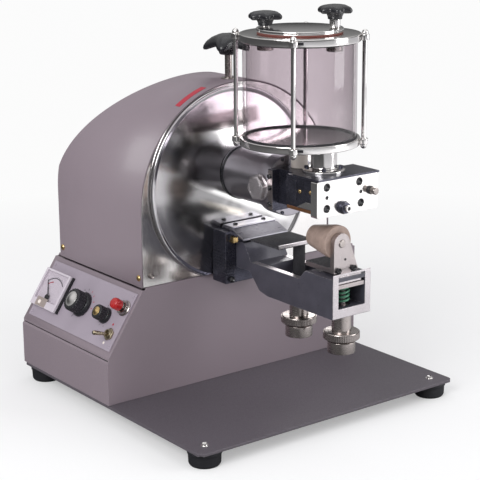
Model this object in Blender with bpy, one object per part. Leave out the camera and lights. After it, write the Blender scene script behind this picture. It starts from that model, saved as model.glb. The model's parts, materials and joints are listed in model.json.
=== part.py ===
"""Bench-top capsule filler: a motor-driven metering pump under a clear hopper.

Metres, +Z up, the operator's side faces -Y. The origin lies on the bench, under the centre of the
machine. Depths along Y are given by ahead(), as a distance in front of the console's front face.
"""

import math

import bmesh
import bpy
from mathutils import Matrix, Vector

MM = 0.001
GAP = 0.3 * MM  # left between neighbouring pieces
RUN = 0.35 * MM  # radial clearance of a turning or sliding piece
SHEET = 2 * MM

# Base plate and feet
WIDTH = 430 * MM
PLATE_AHEAD = 207 * MM
PLATE_BEHIND = 226 * MM
PLATE_THICK = 4 * MM
FOOT_HEIGHT = 20 * MM
FOOT_RADIUS = 22 * MM
FOOT_INSET = 23 * MM
MACHINE_AHEAD = 237.5 * MM  # the front nut reaches furthest forward
FACE_Y = (MACHINE_AHEAD - PLATE_BEHIND) / 2

# Console
DECK = FOOT_HEIGHT + PLATE_THICK
SLOPE_FOOT = DECK + 62 * MM
CONSOLE_TOP = DECK + 151 * MM
SLOPE_RUN = 60.6 * MM
CONSOLE_DEPTH = 226 * MM
SLOPE_ANGLE = math.atan2(CONSOLE_TOP - SLOPE_FOOT, SLOPE_RUN)
PANEL_THICK = 1.5 * MM

# Controls on the slope: (distance up the slope, distance behind the face)
SPEED_AT = (55 * MM, 106.5 * MM)
RANGE_AT = (54 * MM, 46.9 * MM)
BUTTON_AT = (73 * MM, 16 * MM)
TOGGLE_AT = (33.5 * MM, 20 * MM)
METER_AT = (55.5 * MM, 183.5 * MM)
METER_PIVOT = (44 * MM, 183.5 * MM)
METER_HALF_HEIGHT = 28 * MM
METER_HALF_WIDTH = 32 * MM
METER_THICK = 8 * MM
METER_CAN = 22 * MM
NEEDLE_REST = math.radians(40)  # from the pointer straight up the slope
KNOB_STEM = 3 * MM
BUTTON_SHANK = 6 * MM
TOGGLE_SHANK = 5.9 * MM
TOGGLE_PIVOT = 3 * MM
TOGGLE_LEAN = math.radians(17)
TOGGLE_REACH = 26 * MM
PANEL_FACE = GAP + PANEL_THICK
PANEL_HOLES = (
    (*SPEED_AT, KNOB_STEM + 0.5 * MM),
    (*RANGE_AT, KNOB_STEM + 0.5 * MM),
    (*BUTTON_AT, BUTTON_SHANK + 0.4 * MM),
    (*TOGGLE_AT, TOGGLE_SHANK + 0.4 * MM),
    (*METER_AT, METER_CAN + 0.5 * MM),
)

# Hood
HEAD_X = 3 * MM  # the hood, drive and filling head share this centre plane
HOOD_RADIUS = 160.8 * MM
HOOD_CENTRE_Z = 274.7 * MM
HOOD_DEPTH = 210 * MM
HOOD_KNEE_Z = 305.6 * MM
HOOD_CREST_DEPTH = 93.7 * MM
HOOD_BULGE = 12.7 * MM
HOOD_STEPS = 13  # facets in a quarter of the arch
DISH_X = -10 * MM
DISH_Z = 297 * MM
DISH_RADIUS = 132.4 * MM
STEM_BEHIND = 21 * MM
STEM_RADIUS = 5 * MM
STEM_LOW = 415 * MM
HOOD_KNOB_LOW = 468 * MM
HOOD_KNOB_HIGH = 497 * MM
HOOD_KNOB_RADIUS = 34 * MM

# Drive line
SPINDLE_Z = 312 * MM
TUBE_RADIUS = 35.5 * MM
TUBE_AHEAD = 112 * MM
TUBE_FLANGE_RADIUS = 41 * MM
HOUSING_FLANGE = 48 * MM
PLUG_AHEAD = 99 * MM
PLUG_THREAD = 9 * MM
SHAFT_RADIUS = 12.5 * MM
BEARING_RADIUS = 23.5 * MM
PULLEY_BEHIND = 62 * MM
PULLEY_WIDTH = 16 * MM
LARGE_PULLEY = 60 * MM
SMALL_PULLEY = 20 * MM
MOTOR_X = 70 * MM
MOTOR_Z = 92 * MM
MOTOR_RADIUS = 42 * MM
BELT_THICK = 3 * MM
BELT_WIDTH = 9 * MM

# Pump
PUMP_LEFT = -40 * MM
PUMP_RIGHT = 60 * MM
PUMP_LOW = 292 * MM
PUMP_HIGH = 338.5 * MM
PUMP_AHEAD = 215 * MM
COVER_THICK = 12 * MM
BODY_BACK = 150 * MM
GEAR_TEETH = 12
GEAR_PITCH = 10 * MM
GEAR_SPACING = 2 * GEAR_PITCH + 0.6 * MM
GEAR_WIDTH = 20 * MM
DRIVE_END = 6 * MM
IDLER_PIN = 4 * MM
BRACKET_RISE = 26 * MM  # the head bracket's top, above the spindle
PLATE_OVER_PUMP = 2.5 * MM
PORT_X = HEAD_X + 6 * MM
PORT_AHEAD = 184 * MM
PORT_RADIUS = 3 * MM
NOZZLE_TIP = 285 * MM
STUB_AT = (2 * MM, 301.5 * MM)
PEG_AT = (48 * MM, 317 * MM)

# Hopper
HOPPER_AHEAD = 129 * MM
NECK_AHEAD = 177 * MM
HOPPER_LOW = 369 * MM
HOPPER_HIGH = 510 * MM
RING_THICK = 9.5 * MM
RING_RADIUS = 77 * MM
GLASS_RADIUS = 72.5 * MM
GLASS_WALL = 4.5 * MM
ROD_CIRCLE = 81.5 * MM
ROD_RADIUS = 3 * MM
LUG_RADIUS = 5.5 * MM
LUG_STEP = 1 * MM
LID_RADIUS = 55 * MM
LID_THICK = 4.5 * MM
GASKET_THICK = 1.6 * MM
LID_KNOB_CIRCLE = 44 * MM
LID_KNOB_TURN = math.radians(-48)
FILL_RADIUS = 34 * MM
BOSS_DEEP = 13 * MM
NECK_BORE = 11 * MM
NECK_RADIUS = 16.5 * MM
NECK_FLANGE = 27 * MM
POST_RADIUS = 11 * MM
KNOB_BUSH = 12 * MM  # the silver sleeve under a lid knob
KNOB_HEAD = 9 * MM
LID_KNOB_RADIUS = 23 * MM
LID_SCREW_RADIUS = 4 * MM
# How far each lid screw stands above fully home: the right one is loosened
LID_KNOB_LIFT = {"left": 0, "right": 9 * MM}

# Lower arm
ARM_LEFT = -28 * MM
ARM_RIGHT = 35 * MM
ARM_AHEAD = 232 * MM
ARM_LOW = 164 * MM
ARM_RIM = 203 * MM
ARM_HIGH = 216 * MM
ARM_WALL = 9.5 * MM
ARM_FLOOR = 176 * MM
BRACKET_FACE = 34 * MM
BRACKET_TOP = 240 * MM
FRONT_STUD = 214 * MM
REAR_STUD = 129 * MM
STUD_RADIUS = 5 * MM
NUT_RADIUS = 23.5 * MM
NUT_LOW = 112.5 * MM
ROLLER_Z = 257 * MM
ROLLER_X = -4.5 * MM
ROLLER_RADIUS = 21.5 * MM
ROLLER_SMALL_END = 14 * MM
PIN_RADIUS = 5 * MM
SLEEVE_RADIUS = 10 * MM
NUT_SLEEVE = 12.5 * MM
TRAVEL = 3 * MM
SADDLE_LOW = ARM_HIGH + TRAVEL + 0.5 * MM
SADDLE_HIGH = SADDLE_LOW + 6 * MM
EAR_FRONT = 222 * MM
EAR_THICK = 7 * MM
EAR_TOP = 13 * MM
SADDLE_BACK = 166 * MM
ROLLER_BACK = 168 * MM
BAR_LOW = 201.5 * MM
BAR_HIGH = 206.5 * MM
TRAY_Z = 236.5 * MM
TRAY_THICK = 2.5 * MM
TRAY_LEFT = -38 * MM
TRAY_RIGHT = 28 * MM
TRAY_FRONT = 138.5 * MM
TRAY_BACK = 78 * MM
CHUTE_THICK = 2.5 * MM
CHUTE_END = 58 * MM


def ahead(distance):
    """The Y of a point this far in front of the console's front face."""
    return FACE_Y - distance


# ---------------------------------------------------------------- shapes


def block(low, high):
    """A box between two opposite corners."""
    bm = bmesh.new()
    bmesh.ops.create_cube(bm, size=1)
    low, high = Vector(low), Vector(high)
    size = high - low
    place = Matrix.Translation((low + high) / 2) @ Matrix.Diagonal(size).to_4x4()
    bmesh.ops.transform(bm, matrix=place, verts=bm.verts)
    return bm


def prism(outline, start, end, axis):
    """A flat outline pushed along an axis: (y, z) for X, (x, z) for Y, (x, y) for Z."""
    rise = {"X": (1, 0, 0), "Y": (0, 1, 0), "Z": (0, 0, 1)}[axis]
    bm = bmesh.new()
    corners = []
    for a, b in outline:
        at = {"X": (start, a, b), "Y": (a, start, b), "Z": (a, b, start)}[axis]
        corners.append(bm.verts.new(at))
    face = bm.faces.new(corners)
    grown = bmesh.ops.extrude_face_region(bm, geom=[face])["geom"]
    moved = [item for item in grown if isinstance(item, bmesh.types.BMVert)]
    bmesh.ops.translate(bm, verts=moved, vec=Vector(rise) * (end - start))
    return bm


def turned(profile, steps=32, axis="Z"):
    """A closed (radius, height) profile spun about the axis through the local origin."""
    bm = bmesh.new()
    rings = []
    for radius, height in profile:
        count = 1 if radius == 0 else steps
        ring = []
        for i in range(count):
            angle = 2 * math.pi * i / steps
            ring.append(bm.verts.new((radius * math.cos(angle), radius * math.sin(angle), height)))
        rings.append(ring)
    for first, second in zip(rings, rings[1:] + rings[:1]):
        if len(first) == 1 and len(second) == 1:
            continue
        for i in range(steps):
            j = (i + 1) % steps
            ring = [first[i % len(first)], first[j % len(first)]]
            ring += [second[j % len(second)], second[i % len(second)]]
            bm.faces.new(list(dict.fromkeys(ring)))
    turn = {"Z": Matrix(), "Y": Matrix.Rotation(math.pi / 2, 4, "X")}
    turn["X"] = Matrix.Rotation(-math.pi / 2, 4, "Y")
    bmesh.ops.transform(bm, matrix=turn[axis], verts=bm.verts)
    return bm


def disc(radius, low, high, steps=32, axis="Z"):
    """A plain cylinder. Along X and Y, its heights count towards -X and -Y."""
    return turned([(0, low), (radius, low), (radius, high), (0, high)], steps, axis)


def tube(radius, bore, low, high, steps=32, axis="Z"):
    return turned([(bore, low), (radius, low), (radius, high), (bore, high)], steps, axis)


def star(radius, dip, lobes, low, high):
    """A lobed hand-knob disc, standing along Z."""
    points = []
    steps = lobes * 6
    for i in range(steps):
        angle = 2 * math.pi * i / steps
        reach = radius - dip * (0.5 - 0.5 * math.cos(lobes * angle))
        points.append((reach * math.cos(angle), reach * math.sin(angle)))
    return prism(points, low, high, "Z")


def gear(teeth, pitch_radius, phase):
    """A spur gear's outline, with its first tooth turned by a share of one tooth."""
    addendum = pitch_radius * 2 / teeth
    points = []
    for i in range(teeth):
        for share, reach in ((-0.30, -1.1), (-0.14, 0.9), (0.14, 0.9), (0.30, -1.1)):
            angle = 2 * math.pi * (i + phase + share) / teeth
            radius = pitch_radius + reach * addendum
            points.append((radius * math.cos(angle), radius * math.sin(angle)))
    return points


def coil(radius, wire, low, high, turns):
    """A compression spring along Z, with open ends."""
    bm = bmesh.new()
    per_turn, sides = 10, 5
    steps = turns * per_turn
    rings = []
    for i in range(steps + 1):
        angle = 2 * math.pi * i / per_turn
        height = low + wire + (high - low - 2 * wire) * i / steps
        ring = []
        for k in range(sides):
            around = 2 * math.pi * k / sides
            reach = radius + wire * math.cos(around)
            spot = (reach * math.cos(angle), reach * math.sin(angle), height + wire * math.sin(around))
            ring.append(bm.verts.new(spot))
        rings.append(ring)
    for first, second in zip(rings, rings[1:]):
        for k in range(sides):
            n = (k + 1) % sides
            bm.faces.new((first[k], first[n], second[n], second[k]))
    bm.faces.new(rings[0])
    bm.faces.new(rings[-1])
    return bm


# ---------------------------------------------------------------- objects


def material(name, colour, roughness, metallic=0.0):
    made = bpy.data.materials.new(name)
    made.use_nodes = True
    shader = made.node_tree.nodes["Principled BSDF"]
    shader.inputs["Base Color"].default_value = (*colour, 1)
    shader.inputs["Roughness"].default_value = roughness
    shader.inputs["Metallic"].default_value = metallic
    return made


def place(name, bm, finish, at=(0, 0, 0), parent=None, helper=False):
    """Puts a shape in the scene as one named object."""
    bmesh.ops.recalc_face_normals(bm, faces=bm.faces)
    mesh = bpy.data.meshes.new(name)
    bm.to_mesh(mesh)
    bm.free()
    mesh.shade_smooth()
    mesh.set_sharp_from_angle(angle=math.radians(35))
    if finish:
        mesh.materials.append(finish)
    made = bpy.data.objects.new(name, mesh)
    made.location = at
    made.parent = parent
    made.hide_render = helper
    if helper:
        made.display_type = "WIRE"
    bpy.context.scene.collection.objects.link(made)
    return made


# Pieces with long chains of cuts, which the exact solver leaves open.
MANY_CUTS = {"hopper_base", "hopper_top", "pump_body"}


def combine(target, bm, operation, at=None):
    """Adds a shape to an object, or cuts it away. It shares the object's place unless told."""
    where = target.location if at is None else at
    name = f"{target.name}_{operation.lower()}_{len(target.modifiers)}"
    helper = place(name, bm, None, where, target.parent, helper=True)
    step = target.modifiers.new(operation.title(), "BOOLEAN")
    step.operation = operation
    step.solver = "MANIFOLD" if target.name in MANY_CUTS else "EXACT"
    step.object = helper
    return target


def cut(target, bm, at=None):
    return combine(target, bm, "DIFFERENCE", at)


def fuse(target, bm, at=None):
    return combine(target, bm, "UNION", at)


def axis_empty(name, at, turn=(0, 0, 0)):
    made = bpy.data.objects.new(name, None)
    made.location = at
    made.rotation_euler = turn
    bpy.context.scene.collection.objects.link(made)
    return made


def clear_scene():
    for obj in list(bpy.data.objects):
        bpy.data.objects.remove(obj, do_unlink=True)


def centre_footprint():
    """Moves the whole machine sideways until its overall box, toggle lever included, has x = 0 midway."""
    bpy.context.view_layer.update()
    parts = [obj for obj in bpy.data.objects if obj.type == "MESH" and not obj.hide_render]
    across = [(obj.matrix_world @ spot.co).x for obj in parts for spot in obj.data.vertices]
    for obj in bpy.data.objects:
        if obj.parent is None:
            obj.location.x -= (min(across) + max(across)) / 2


# ---------------------------------------------------------------- base and console


def base(paint, rubber):
    half = WIDTH / 2
    plate = block((-half, -PLATE_BEHIND, 0), (half, PLATE_AHEAD, PLATE_THICK))
    upright = [edge for edge in plate.edges if abs(edge.verts[0].co.z - edge.verts[1].co.z) > 1e-6]
    bmesh.ops.bevel(plate, geom=upright, offset=5 * MM, segments=3, affect="EDGES")
    bmesh.ops.transform(plate, matrix=Matrix.Rotation(math.pi, 4, "Z"), verts=plate.verts)
    place("base_plate", plate, paint, (0, FACE_Y, FOOT_HEIGHT))
    profile = [(0, 0), (19 * MM, 0), (FOOT_RADIUS, FOOT_HEIGHT - GAP), (0, FOOT_HEIGHT - GAP)]
    reach = half - FOOT_INSET
    front = ahead(PLATE_AHEAD - FOOT_INSET)
    back = FACE_Y + PLATE_BEHIND - FOOT_INSET
    for row, y in (("front", front), ("back", back)):
        for side, x in (("left", -reach), ("right", reach)):
            place(f"foot_{row}_{side}", turned(profile, 20), rubber, (x, y, 0))


def console_outline(inset):
    """The (x, z) outline of the console, moved inwards by a wall's thickness."""
    left = -WIDTH / 2 + inset
    right = WIDTH / 2 - inset
    low = DECK + GAP if inset == 0 else FOOT_HEIGHT
    shift = inset * math.tan(SLOPE_ANGLE / 2)
    slope_low = (left, SLOPE_FOOT - inset * math.tan((math.pi / 2 - SLOPE_ANGLE) / 2))
    slope_high = (-WIDTH / 2 + SLOPE_RUN + shift, CONSOLE_TOP - inset)
    return [(left, low), (right, low), (right, CONSOLE_TOP - inset), slope_high, slope_low]


def console(paint, controls):
    back = FACE_Y + CONSOLE_DEPTH
    shell = prism(console_outline(0), FACE_Y, back, "Y")
    sides = [edge for edge in shell.edges if abs(edge.verts[0].co.y - edge.verts[1].co.y) > 1 * MM]
    upper = [edge for edge in sides if min(v.co.z for v in edge.verts) > SLOPE_FOOT - 1 * MM]
    bmesh.ops.bevel(shell, geom=upper, offset=4 * MM, segments=2, affect="EDGES")
    shell = place("console_shell", shell, paint)
    origin = (0, 0, 0)
    cut(shell, prism(console_outline(SHEET), FACE_Y + SHEET, back - SHEET, "Y"), origin)
    belt_way = block(
        (-100 * MM, FACE_Y + 8 * MM, CONSOLE_TOP - 10 * MM),
        (145 * MM, FACE_Y + 100 * MM, CONSOLE_TOP + 10 * MM),
    )
    cut(shell, belt_way, origin)
    frame = axis_empty("slope_frame", (-WIDTH / 2, FACE_Y, SLOPE_FOOT), (0, -SLOPE_ANGLE, 0))
    window = block((20 * MM, 8 * MM, -12 * MM), (90 * MM, 210 * MM, 12 * MM))
    cutter = place("panel_window", window, None, parent=frame, helper=True)
    step = shell.modifiers.new("Panel window", "BOOLEAN")
    step.operation = "DIFFERENCE"
    step.solver = "EXACT"
    step.object = cutter
    panel = block((12.5 * MM, 4.7 * MM, GAP), (97 * MM, 217 * MM, GAP + PANEL_THICK))
    panel = place("control_panel", panel, controls, parent=frame)
    for along, across, radius in PANEL_HOLES:
        cut(panel, disc(radius, -5 * MM, 5 * MM, 20), (along, across, 0))
    return frame


def rotary_knob(name, radius, height, spot, frame, black):
    """A knob with a stepped skirt, on a stem that passes through the panel."""
    low = PANEL_FACE + GAP
    profile = [(0, -8 * MM), (KNOB_STEM, -8 * MM), (KNOB_STEM, low), (radius, low)]
    profile += [(radius, low + 0.3 * height), (0.86 * radius, low + 0.4 * height)]
    profile += [(0.8 * radius, low + height), (0, low + height)]
    place(name, turned(profile, 24), black, (*spot, 0), frame)


def controls(frame, black, ivory, red, metal, dark):
    rotary_knob("speed_knob", 18 * MM, 21 * MM, SPEED_AT, frame, black)
    rotary_knob("range_knob", 11.5 * MM, 17 * MM, RANGE_AT, frame, black)
    profile = [(0, -6 * MM), (BUTTON_SHANK, -6 * MM), (BUTTON_SHANK, 11 * MM), (8.5 * MM, 12 * MM)]
    profile += [(8.5 * MM, 21 * MM), (6.5 * MM, 24 * MM), (0, 24.5 * MM)]
    place("start_button", turned(profile, 20), red, (*BUTTON_AT, 0), frame)
    low = PANEL_FACE + GAP
    profile = [(3.8 * MM, -14 * MM), (TOGGLE_SHANK, -14 * MM), (TOGGLE_SHANK, low), (8.2 * MM, low)]
    profile += [(8.2 * MM, low + 2.2 * MM), (TOGGLE_SHANK, low + 2.6 * MM)]
    profile += [(TOGGLE_SHANK, low + 5 * MM), (3.8 * MM, low + 5 * MM)]
    place("toggle_body", turned(profile, 20), metal, (*TOGGLE_AT, 0), frame)
    toggle_lever(frame, metal)
    meter(frame, ivory, dark)


def toggle_lever(frame, metal):
    """The lever leans down the slope, one end of its throw."""
    profile = [(0, -3 * MM), (1.4 * MM, -3 * MM), (1.4 * MM, 4 * MM), (2.6 * MM, TOGGLE_REACH - 3 * MM)]
    profile += [(1.6 * MM, TOGGLE_REACH), (0, TOGGLE_REACH)]
    lever = turned(profile, 12)
    lean = Matrix.Rotation(-TOGGLE_LEAN, 4, "Y")
    bmesh.ops.transform(lever, matrix=lean, verts=lever.verts)
    place("toggle_lever", lever, metal, (*TOGGLE_AT, TOGGLE_PIVOT), frame)


def meter(frame, ivory, dark):
    low = PANEL_FACE + GAP
    high = low + METER_THICK
    case = block(
        (-METER_HALF_HEIGHT, -METER_HALF_WIDTH, low),
        (METER_HALF_HEIGHT, METER_HALF_WIDTH, high),
    )
    case = place("meter_case", case, ivory, (*METER_AT, 0), frame)
    fuse(case, disc(METER_CAN, -24 * MM, low + 1 * MM, 24))
    recess = block((-17.5 * MM, -28 * MM, high - 4 * MM), (25 * MM, 28 * MM, high + 5 * MM))
    cut(case, recess)
    points = [(-4 * MM, -1.1 * MM), (30 * MM, -0.35 * MM), (30 * MM, 0.35 * MM), (-4 * MM, 1.1 * MM)]
    needle = prism(points, high - 3 * MM, high - 2.2 * MM, "Z")
    to_zero = Matrix.Rotation(NEEDLE_REST, 4, "Z")
    bmesh.ops.transform(needle, matrix=to_zero, verts=needle.verts)
    needle = place("meter_needle", needle, dark, (*METER_PIVOT, 0), frame)
    fuse(needle, disc(2.4 * MM, high - 3.4 * MM, high - 1.6 * MM, 12))


# ---------------------------------------------------------------- hood


def hood_back(z):
    """How far behind the face the hood's back lies at this height: upright, then one long arc."""
    if z <= HOOD_KNEE_Z:
        return HOOD_DEPTH
    crest_z = HOOD_CENTRE_Z + HOOD_RADIUS
    chord = Vector((HOOD_CREST_DEPTH - HOOD_DEPTH, crest_z - HOOD_KNEE_Z))
    share = (z - HOOD_KNEE_Z) / chord.y
    bulge = 4 * HOOD_BULGE * share * (1 - share) / math.cos(math.atan2(-chord.x, chord.y))
    return HOOD_DEPTH + chord.x * share + bulge


def hood_solid(inset, low, front):
    """The arched block that the hood encloses, moved inwards by a wall's thickness."""
    radius = HOOD_RADIUS - inset
    levels = [(radius, low), (radius, HOOD_CENTRE_Z - 40 * MM)]
    for i in range(HOOD_STEPS + 1):
        angle = math.pi / 2 * i / HOOD_STEPS
        levels.append((radius * math.cos(angle), HOOD_CENTRE_Z + radius * math.sin(angle)))
    bm = bmesh.new()
    rows = []
    for half, z in levels:
        back = hood_back(z) - inset
        corners = [(-half, front, z), (half, front, z), (half, back, z), (-half, back, z)]
        if half < 1e-6:
            corners = [(0, front, z), (0, back, z)]
        rows.append([bm.verts.new(spot) for spot in corners])
    crest = rows.pop()
    rows.append([crest[0], crest[0], crest[1], crest[1]])
    for lower, upper in zip(rows, rows[1:]):
        for a, b in ((1, 2), (2, 3), (3, 0)):
            ring = [lower[a], lower[b], upper[b], upper[a]]
            bm.faces.new(list(dict.fromkeys(ring)))
    bm.faces.new(rows[0])
    left = [row[0] for row in rows]
    right = [row[1] for row in rows[:-1]]
    bm.faces.new(left + right[::-1])
    return bm


def hood(paint, polished, dark, black):
    at = (HEAD_X, FACE_Y, 0)
    low = CONSOLE_TOP + GAP
    shell = place("hood_shell", hood_solid(0, low, 0), paint, at)
    cut(shell, hood_solid(SHEET, low - 20 * MM, -20 * MM))
    stem_at = (HEAD_X, FACE_Y + STEM_BEHIND, 0)
    cut(shell, disc(STEM_RADIUS + RUN, 400 * MM, 460 * MM, 24), stem_at)
    inset = SHEET + GAP
    mouth = []
    radius = HOOD_RADIUS - inset
    for i in range(2 * HOOD_STEPS + 1):
        angle = math.pi / 2 * i / HOOD_STEPS
        mouth.append((radius * math.cos(angle), HOOD_CENTRE_Z + radius * math.sin(angle)))
    mouth += [(-radius, low + GAP), (radius, low + GAP)]
    plate = place("front_plate", prism(mouth, 0.5 * MM, 3 * MM, "Y"), polished, at)
    opening = disc(TUBE_RADIUS + 1 * MM, -20 * MM, 20 * MM, 28, "Y")
    cut(plate, opening, (HEAD_X, FACE_Y, SPINDLE_Z))
    dish(polished)
    hood_clamp(dark, black)


def dish(polished):
    """A round polished cover, with a rolled rim and a flat foot on the console."""
    profile = [(0, -0.2 * MM), (DISH_RADIUS, -0.2 * MM), (DISH_RADIUS, 3 * MM)]
    profile += [(DISH_RADIUS - 2 * MM, 4.2 * MM), (DISH_RADIUS - 6 * MM, 2.6 * MM), (0, 4 * MM)]
    cover = place("cover_dish", turned(profile, 56, "Y"), polished, (DISH_X, FACE_Y, DISH_Z))
    opening = disc(TUBE_RADIUS + GAP, -20 * MM, 20 * MM, 32, "Y")
    cut(cover, opening, (HEAD_X, FACE_Y, SPINDLE_Z))
    foot = block((-0.2, -0.1, -0.2), (0.2, 0.1, 0))
    cut(cover, foot, (DISH_X, FACE_Y, CONSOLE_TOP + 1.5 * MM))


def hood_clamp(metal, black):
    """The lobed knob over the hood turns with its stem, which reaches through the hood."""
    at = (HEAD_X, FACE_Y + STEM_BEHIND, 0)
    place("hood_stem", disc(STEM_RADIUS, STEM_LOW, HOOD_KNOB_LOW + 12 * MM, 16), metal, at)
    crown = HOOD_KNOB_HIGH - 13 * MM
    knob = star(HOOD_KNOB_RADIUS, 11 * MM, 5, crown, HOOD_KNOB_HIGH)
    knob = place("hood_knob", knob, black, at)
    fuse(knob, disc(13 * MM, HOOD_KNOB_LOW, crown + 2 * MM, 20))
    cut(knob, disc(STEM_RADIUS + GAP, HOOD_KNOB_LOW - 5 * MM, HOOD_KNOB_LOW + 12.5 * MM, 16))


# ---------------------------------------------------------------- drive line


def bulkhead(cast):
    """The upright frame plate inside: it carries the spindle housing and the lower arm."""
    low, high = DECK + GAP, 372 * MM
    outline = [(-95 * MM, low), (140 * MM, low), (140 * MM, 160 * MM), (70 * MM, 300 * MM)]
    outline += [(52 * MM, high), (-46 * MM, high), (-95 * MM, 300 * MM)]
    plate = place("bulkhead", prism(outline, 12 * MM, 20 * MM, "Y"), cast, (0, FACE_Y, 0))
    opening = disc(TUBE_RADIUS + GAP, -40 * MM, 10 * MM, 28, "Y")
    cut(plate, opening, (HEAD_X, FACE_Y, SPINDLE_Z))


def spindle_housing(dark):
    """Turned in one piece: nose flange, tube, and a mounting flange behind the cover."""
    seat, core = BEARING_RADIUS + GAP, 17 * MM
    nose, back = TUBE_AHEAD, -24 * MM
    deep = 14 * MM
    flange = HOUSING_FLANGE
    profile = [(seat, nose), (seat, nose - deep), (core, nose - deep), (core, back + deep)]
    profile += [(seat, back + deep), (seat, back), (TUBE_RADIUS, back), (TUBE_RADIUS, -11.7 * MM)]
    profile += [(flange, -11.7 * MM), (flange, -4 * MM), (TUBE_RADIUS, -4 * MM)]
    profile += [(TUBE_RADIUS, nose - 22 * MM), (TUBE_FLANGE_RADIUS, nose - 22 * MM)]
    profile += [(TUBE_FLANGE_RADIUS, nose)]
    at = (HEAD_X, FACE_Y, SPINDLE_Z)
    housing = place("spindle_housing", turned(profile, 28, "Y"), dark, at)
    socket = disc(PLUG_THREAD + GAP, 29 * MM, 60 * MM, 16, "X")
    cut(housing, socket, (HEAD_X, ahead(PLUG_AHEAD), SPINDLE_Z))


def bearings(metal):
    """One ball bearing at each end of the housing, each modelled as a plain ring."""
    at = (HEAD_X, FACE_Y, SPINDLE_Z)
    for name, start in (("bearing_front", TUBE_AHEAD - 13 * MM), ("bearing_rear", -23 * MM)):
        race = tube(BEARING_RADIUS, SHAFT_RADIUS + GAP, start, start + 12 * MM, 24, "Y")
        place(name, race, metal, at)


def oil_plug(metal):
    """The hexagon plug on the housing's left side, with its round seat."""
    at = (HEAD_X, ahead(PLUG_AHEAD), SPINDLE_Z)
    profile = [(0, 31 * MM), (PLUG_THREAD, 31 * MM), (PLUG_THREAD, 41.5 * MM), (17 * MM, 41.5 * MM)]
    profile += [(17 * MM, 43 * MM), (0, 43 * MM)]
    plug = place("oil_plug", turned(profile, 20, "X"), metal, at)
    points = []
    for i in range(6):
        angle = math.pi / 3 * i + math.pi / 6
        points.append((14.5 * MM * math.cos(angle), 14.5 * MM * math.sin(angle)))
    fuse(plug, prism(points, -50 * MM, -42 * MM, "X"))


def spindle(metal, cast, brass):
    at = (HEAD_X, FACE_Y, SPINDLE_Z)
    nose = TUBE_AHEAD + 1 * MM
    profile = [(0, -98 * MM), (SHAFT_RADIUS, -98 * MM), (SHAFT_RADIUS, nose), (DRIVE_END, nose)]
    profile += [(DRIVE_END, PUMP_AHEAD - COVER_THICK - 2 * MM), (0, PUMP_AHEAD - COVER_THICK - 2 * MM)]
    place("main_shaft", turned(profile, 20, "Y"), metal, at)
    pulley("main_pulley", LARGE_PULLEY, SHAFT_RADIUS + GAP, at, cast)
    low = PUMP_AHEAD - COVER_THICK - GEAR_WIDTH - 2 * MM
    drive = prism(gear(GEAR_TEETH, GEAR_PITCH, 0), -low - GEAR_WIDTH, -low, "Y")
    drive = place("drive_gear", drive, brass, at)
    cut(drive, disc(DRIVE_END + GAP, 0, 0.3, 16, "Y"))
    idler = prism(gear(GEAR_TEETH, GEAR_PITCH, 0.5), -low - GEAR_WIDTH, -low, "Y")
    idler_at = (HEAD_X + GEAR_SPACING, FACE_Y, SPINDLE_Z)
    idler = place("idler_gear", idler, brass, idler_at)
    fuse(idler, disc(IDLER_PIN, low - 8 * MM, low + 5 * MM, 16, "Y"))


def pulley(name, radius, bore, at, finish):
    """A flat-belt pulley with two rims, turned about Y, centred in the belt's plane."""
    half = PULLEY_WIDTH / 2
    middle = -PULLEY_BEHIND
    groove = BELT_WIDTH / 2 + 1 * MM
    rim = radius + BELT_THICK + 1 * MM
    profile = [(bore, middle - half), (rim, middle - half), (rim, middle - groove)]
    profile += [(radius, middle - groove), (radius, middle + groove), (rim, middle + groove)]
    profile += [(rim, middle + half), (bore, middle + half)]
    return place(name, turned(profile, 28, "Y"), finish, at)


def motor(cast, metal):
    """A gearmotor on its own foot; its output stub carries the small pulley."""
    front, neck, back = PULLEY_BEHIND + 12 * MM, PULLEY_BEHIND + 46 * MM, 205 * MM
    at = (MOTOR_X, FACE_Y, MOTOR_Z)
    low = DECK + GAP - MOTOR_Z
    box = block((-44 * MM, front, low + 8 * MM), (44 * MM, neck, 46 * MM))
    body = place("gear_motor", box, cast, at)
    fuse(body, disc(MOTOR_RADIUS, -back, -neck + 2 * MM, 24, "Y"))
    fuse(body, block((-56 * MM, front + 2 * MM, low), (56 * MM, back - 30 * MM, low + 9 * MM)))
    cut(body, disc(8.5 * MM, -front - 14 * MM, -front + 5 * MM, 20, "Y"))
    small = pulley("motor_pulley", SMALL_PULLEY, 0, at, metal)
    fuse(small, disc(8 * MM, -front - 12 * MM, -PULLEY_BEHIND, 20, "Y"))


def belt(rubber):
    """The belt's loop: two arcs joined by the pulleys' outer tangents."""
    top = Vector((HEAD_X, SPINDLE_Z))
    low = Vector((MOTOR_X, MOTOR_Z))
    along = low - top
    facing = math.atan2(along.y, along.x)

    def loop(extra):
        spread = math.acos((LARGE_PULLEY - SMALL_PULLEY) / along.length)
        points = []
        for centre, radius, start, end in (
            (top, LARGE_PULLEY + extra, facing + spread, facing + 2 * math.pi - spread),
            (low, SMALL_PULLEY + extra, facing - spread, facing + spread),
        ):
            for i in range(15):
                angle = start + (end - start) * i / 14
                points.append((centre.x + radius * math.cos(angle), centre.y + radius * math.sin(angle)))
        return points

    middle = PULLEY_BEHIND
    span = (middle - BELT_WIDTH / 2, middle + BELT_WIDTH / 2)
    band = prism(loop(GAP + BELT_THICK), *span, "Y")
    band = place("drive_belt", band, rubber, (0, FACE_Y, 0))
    cut(band, prism(loop(GAP + 0.5 * MM), middle - 20 * MM, middle + 20 * MM, "Y"))


def speed_controller(green):
    """The electronics box on the console's floor, behind the controls."""
    low = DECK + GAP
    box = block((-205 * MM, 30 * MM, low), (-110 * MM, 120 * MM, low + 32 * MM))
    place("speed_controller", box, green, (0, FACE_Y, 0))


# ---------------------------------------------------------------- filling head


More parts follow.
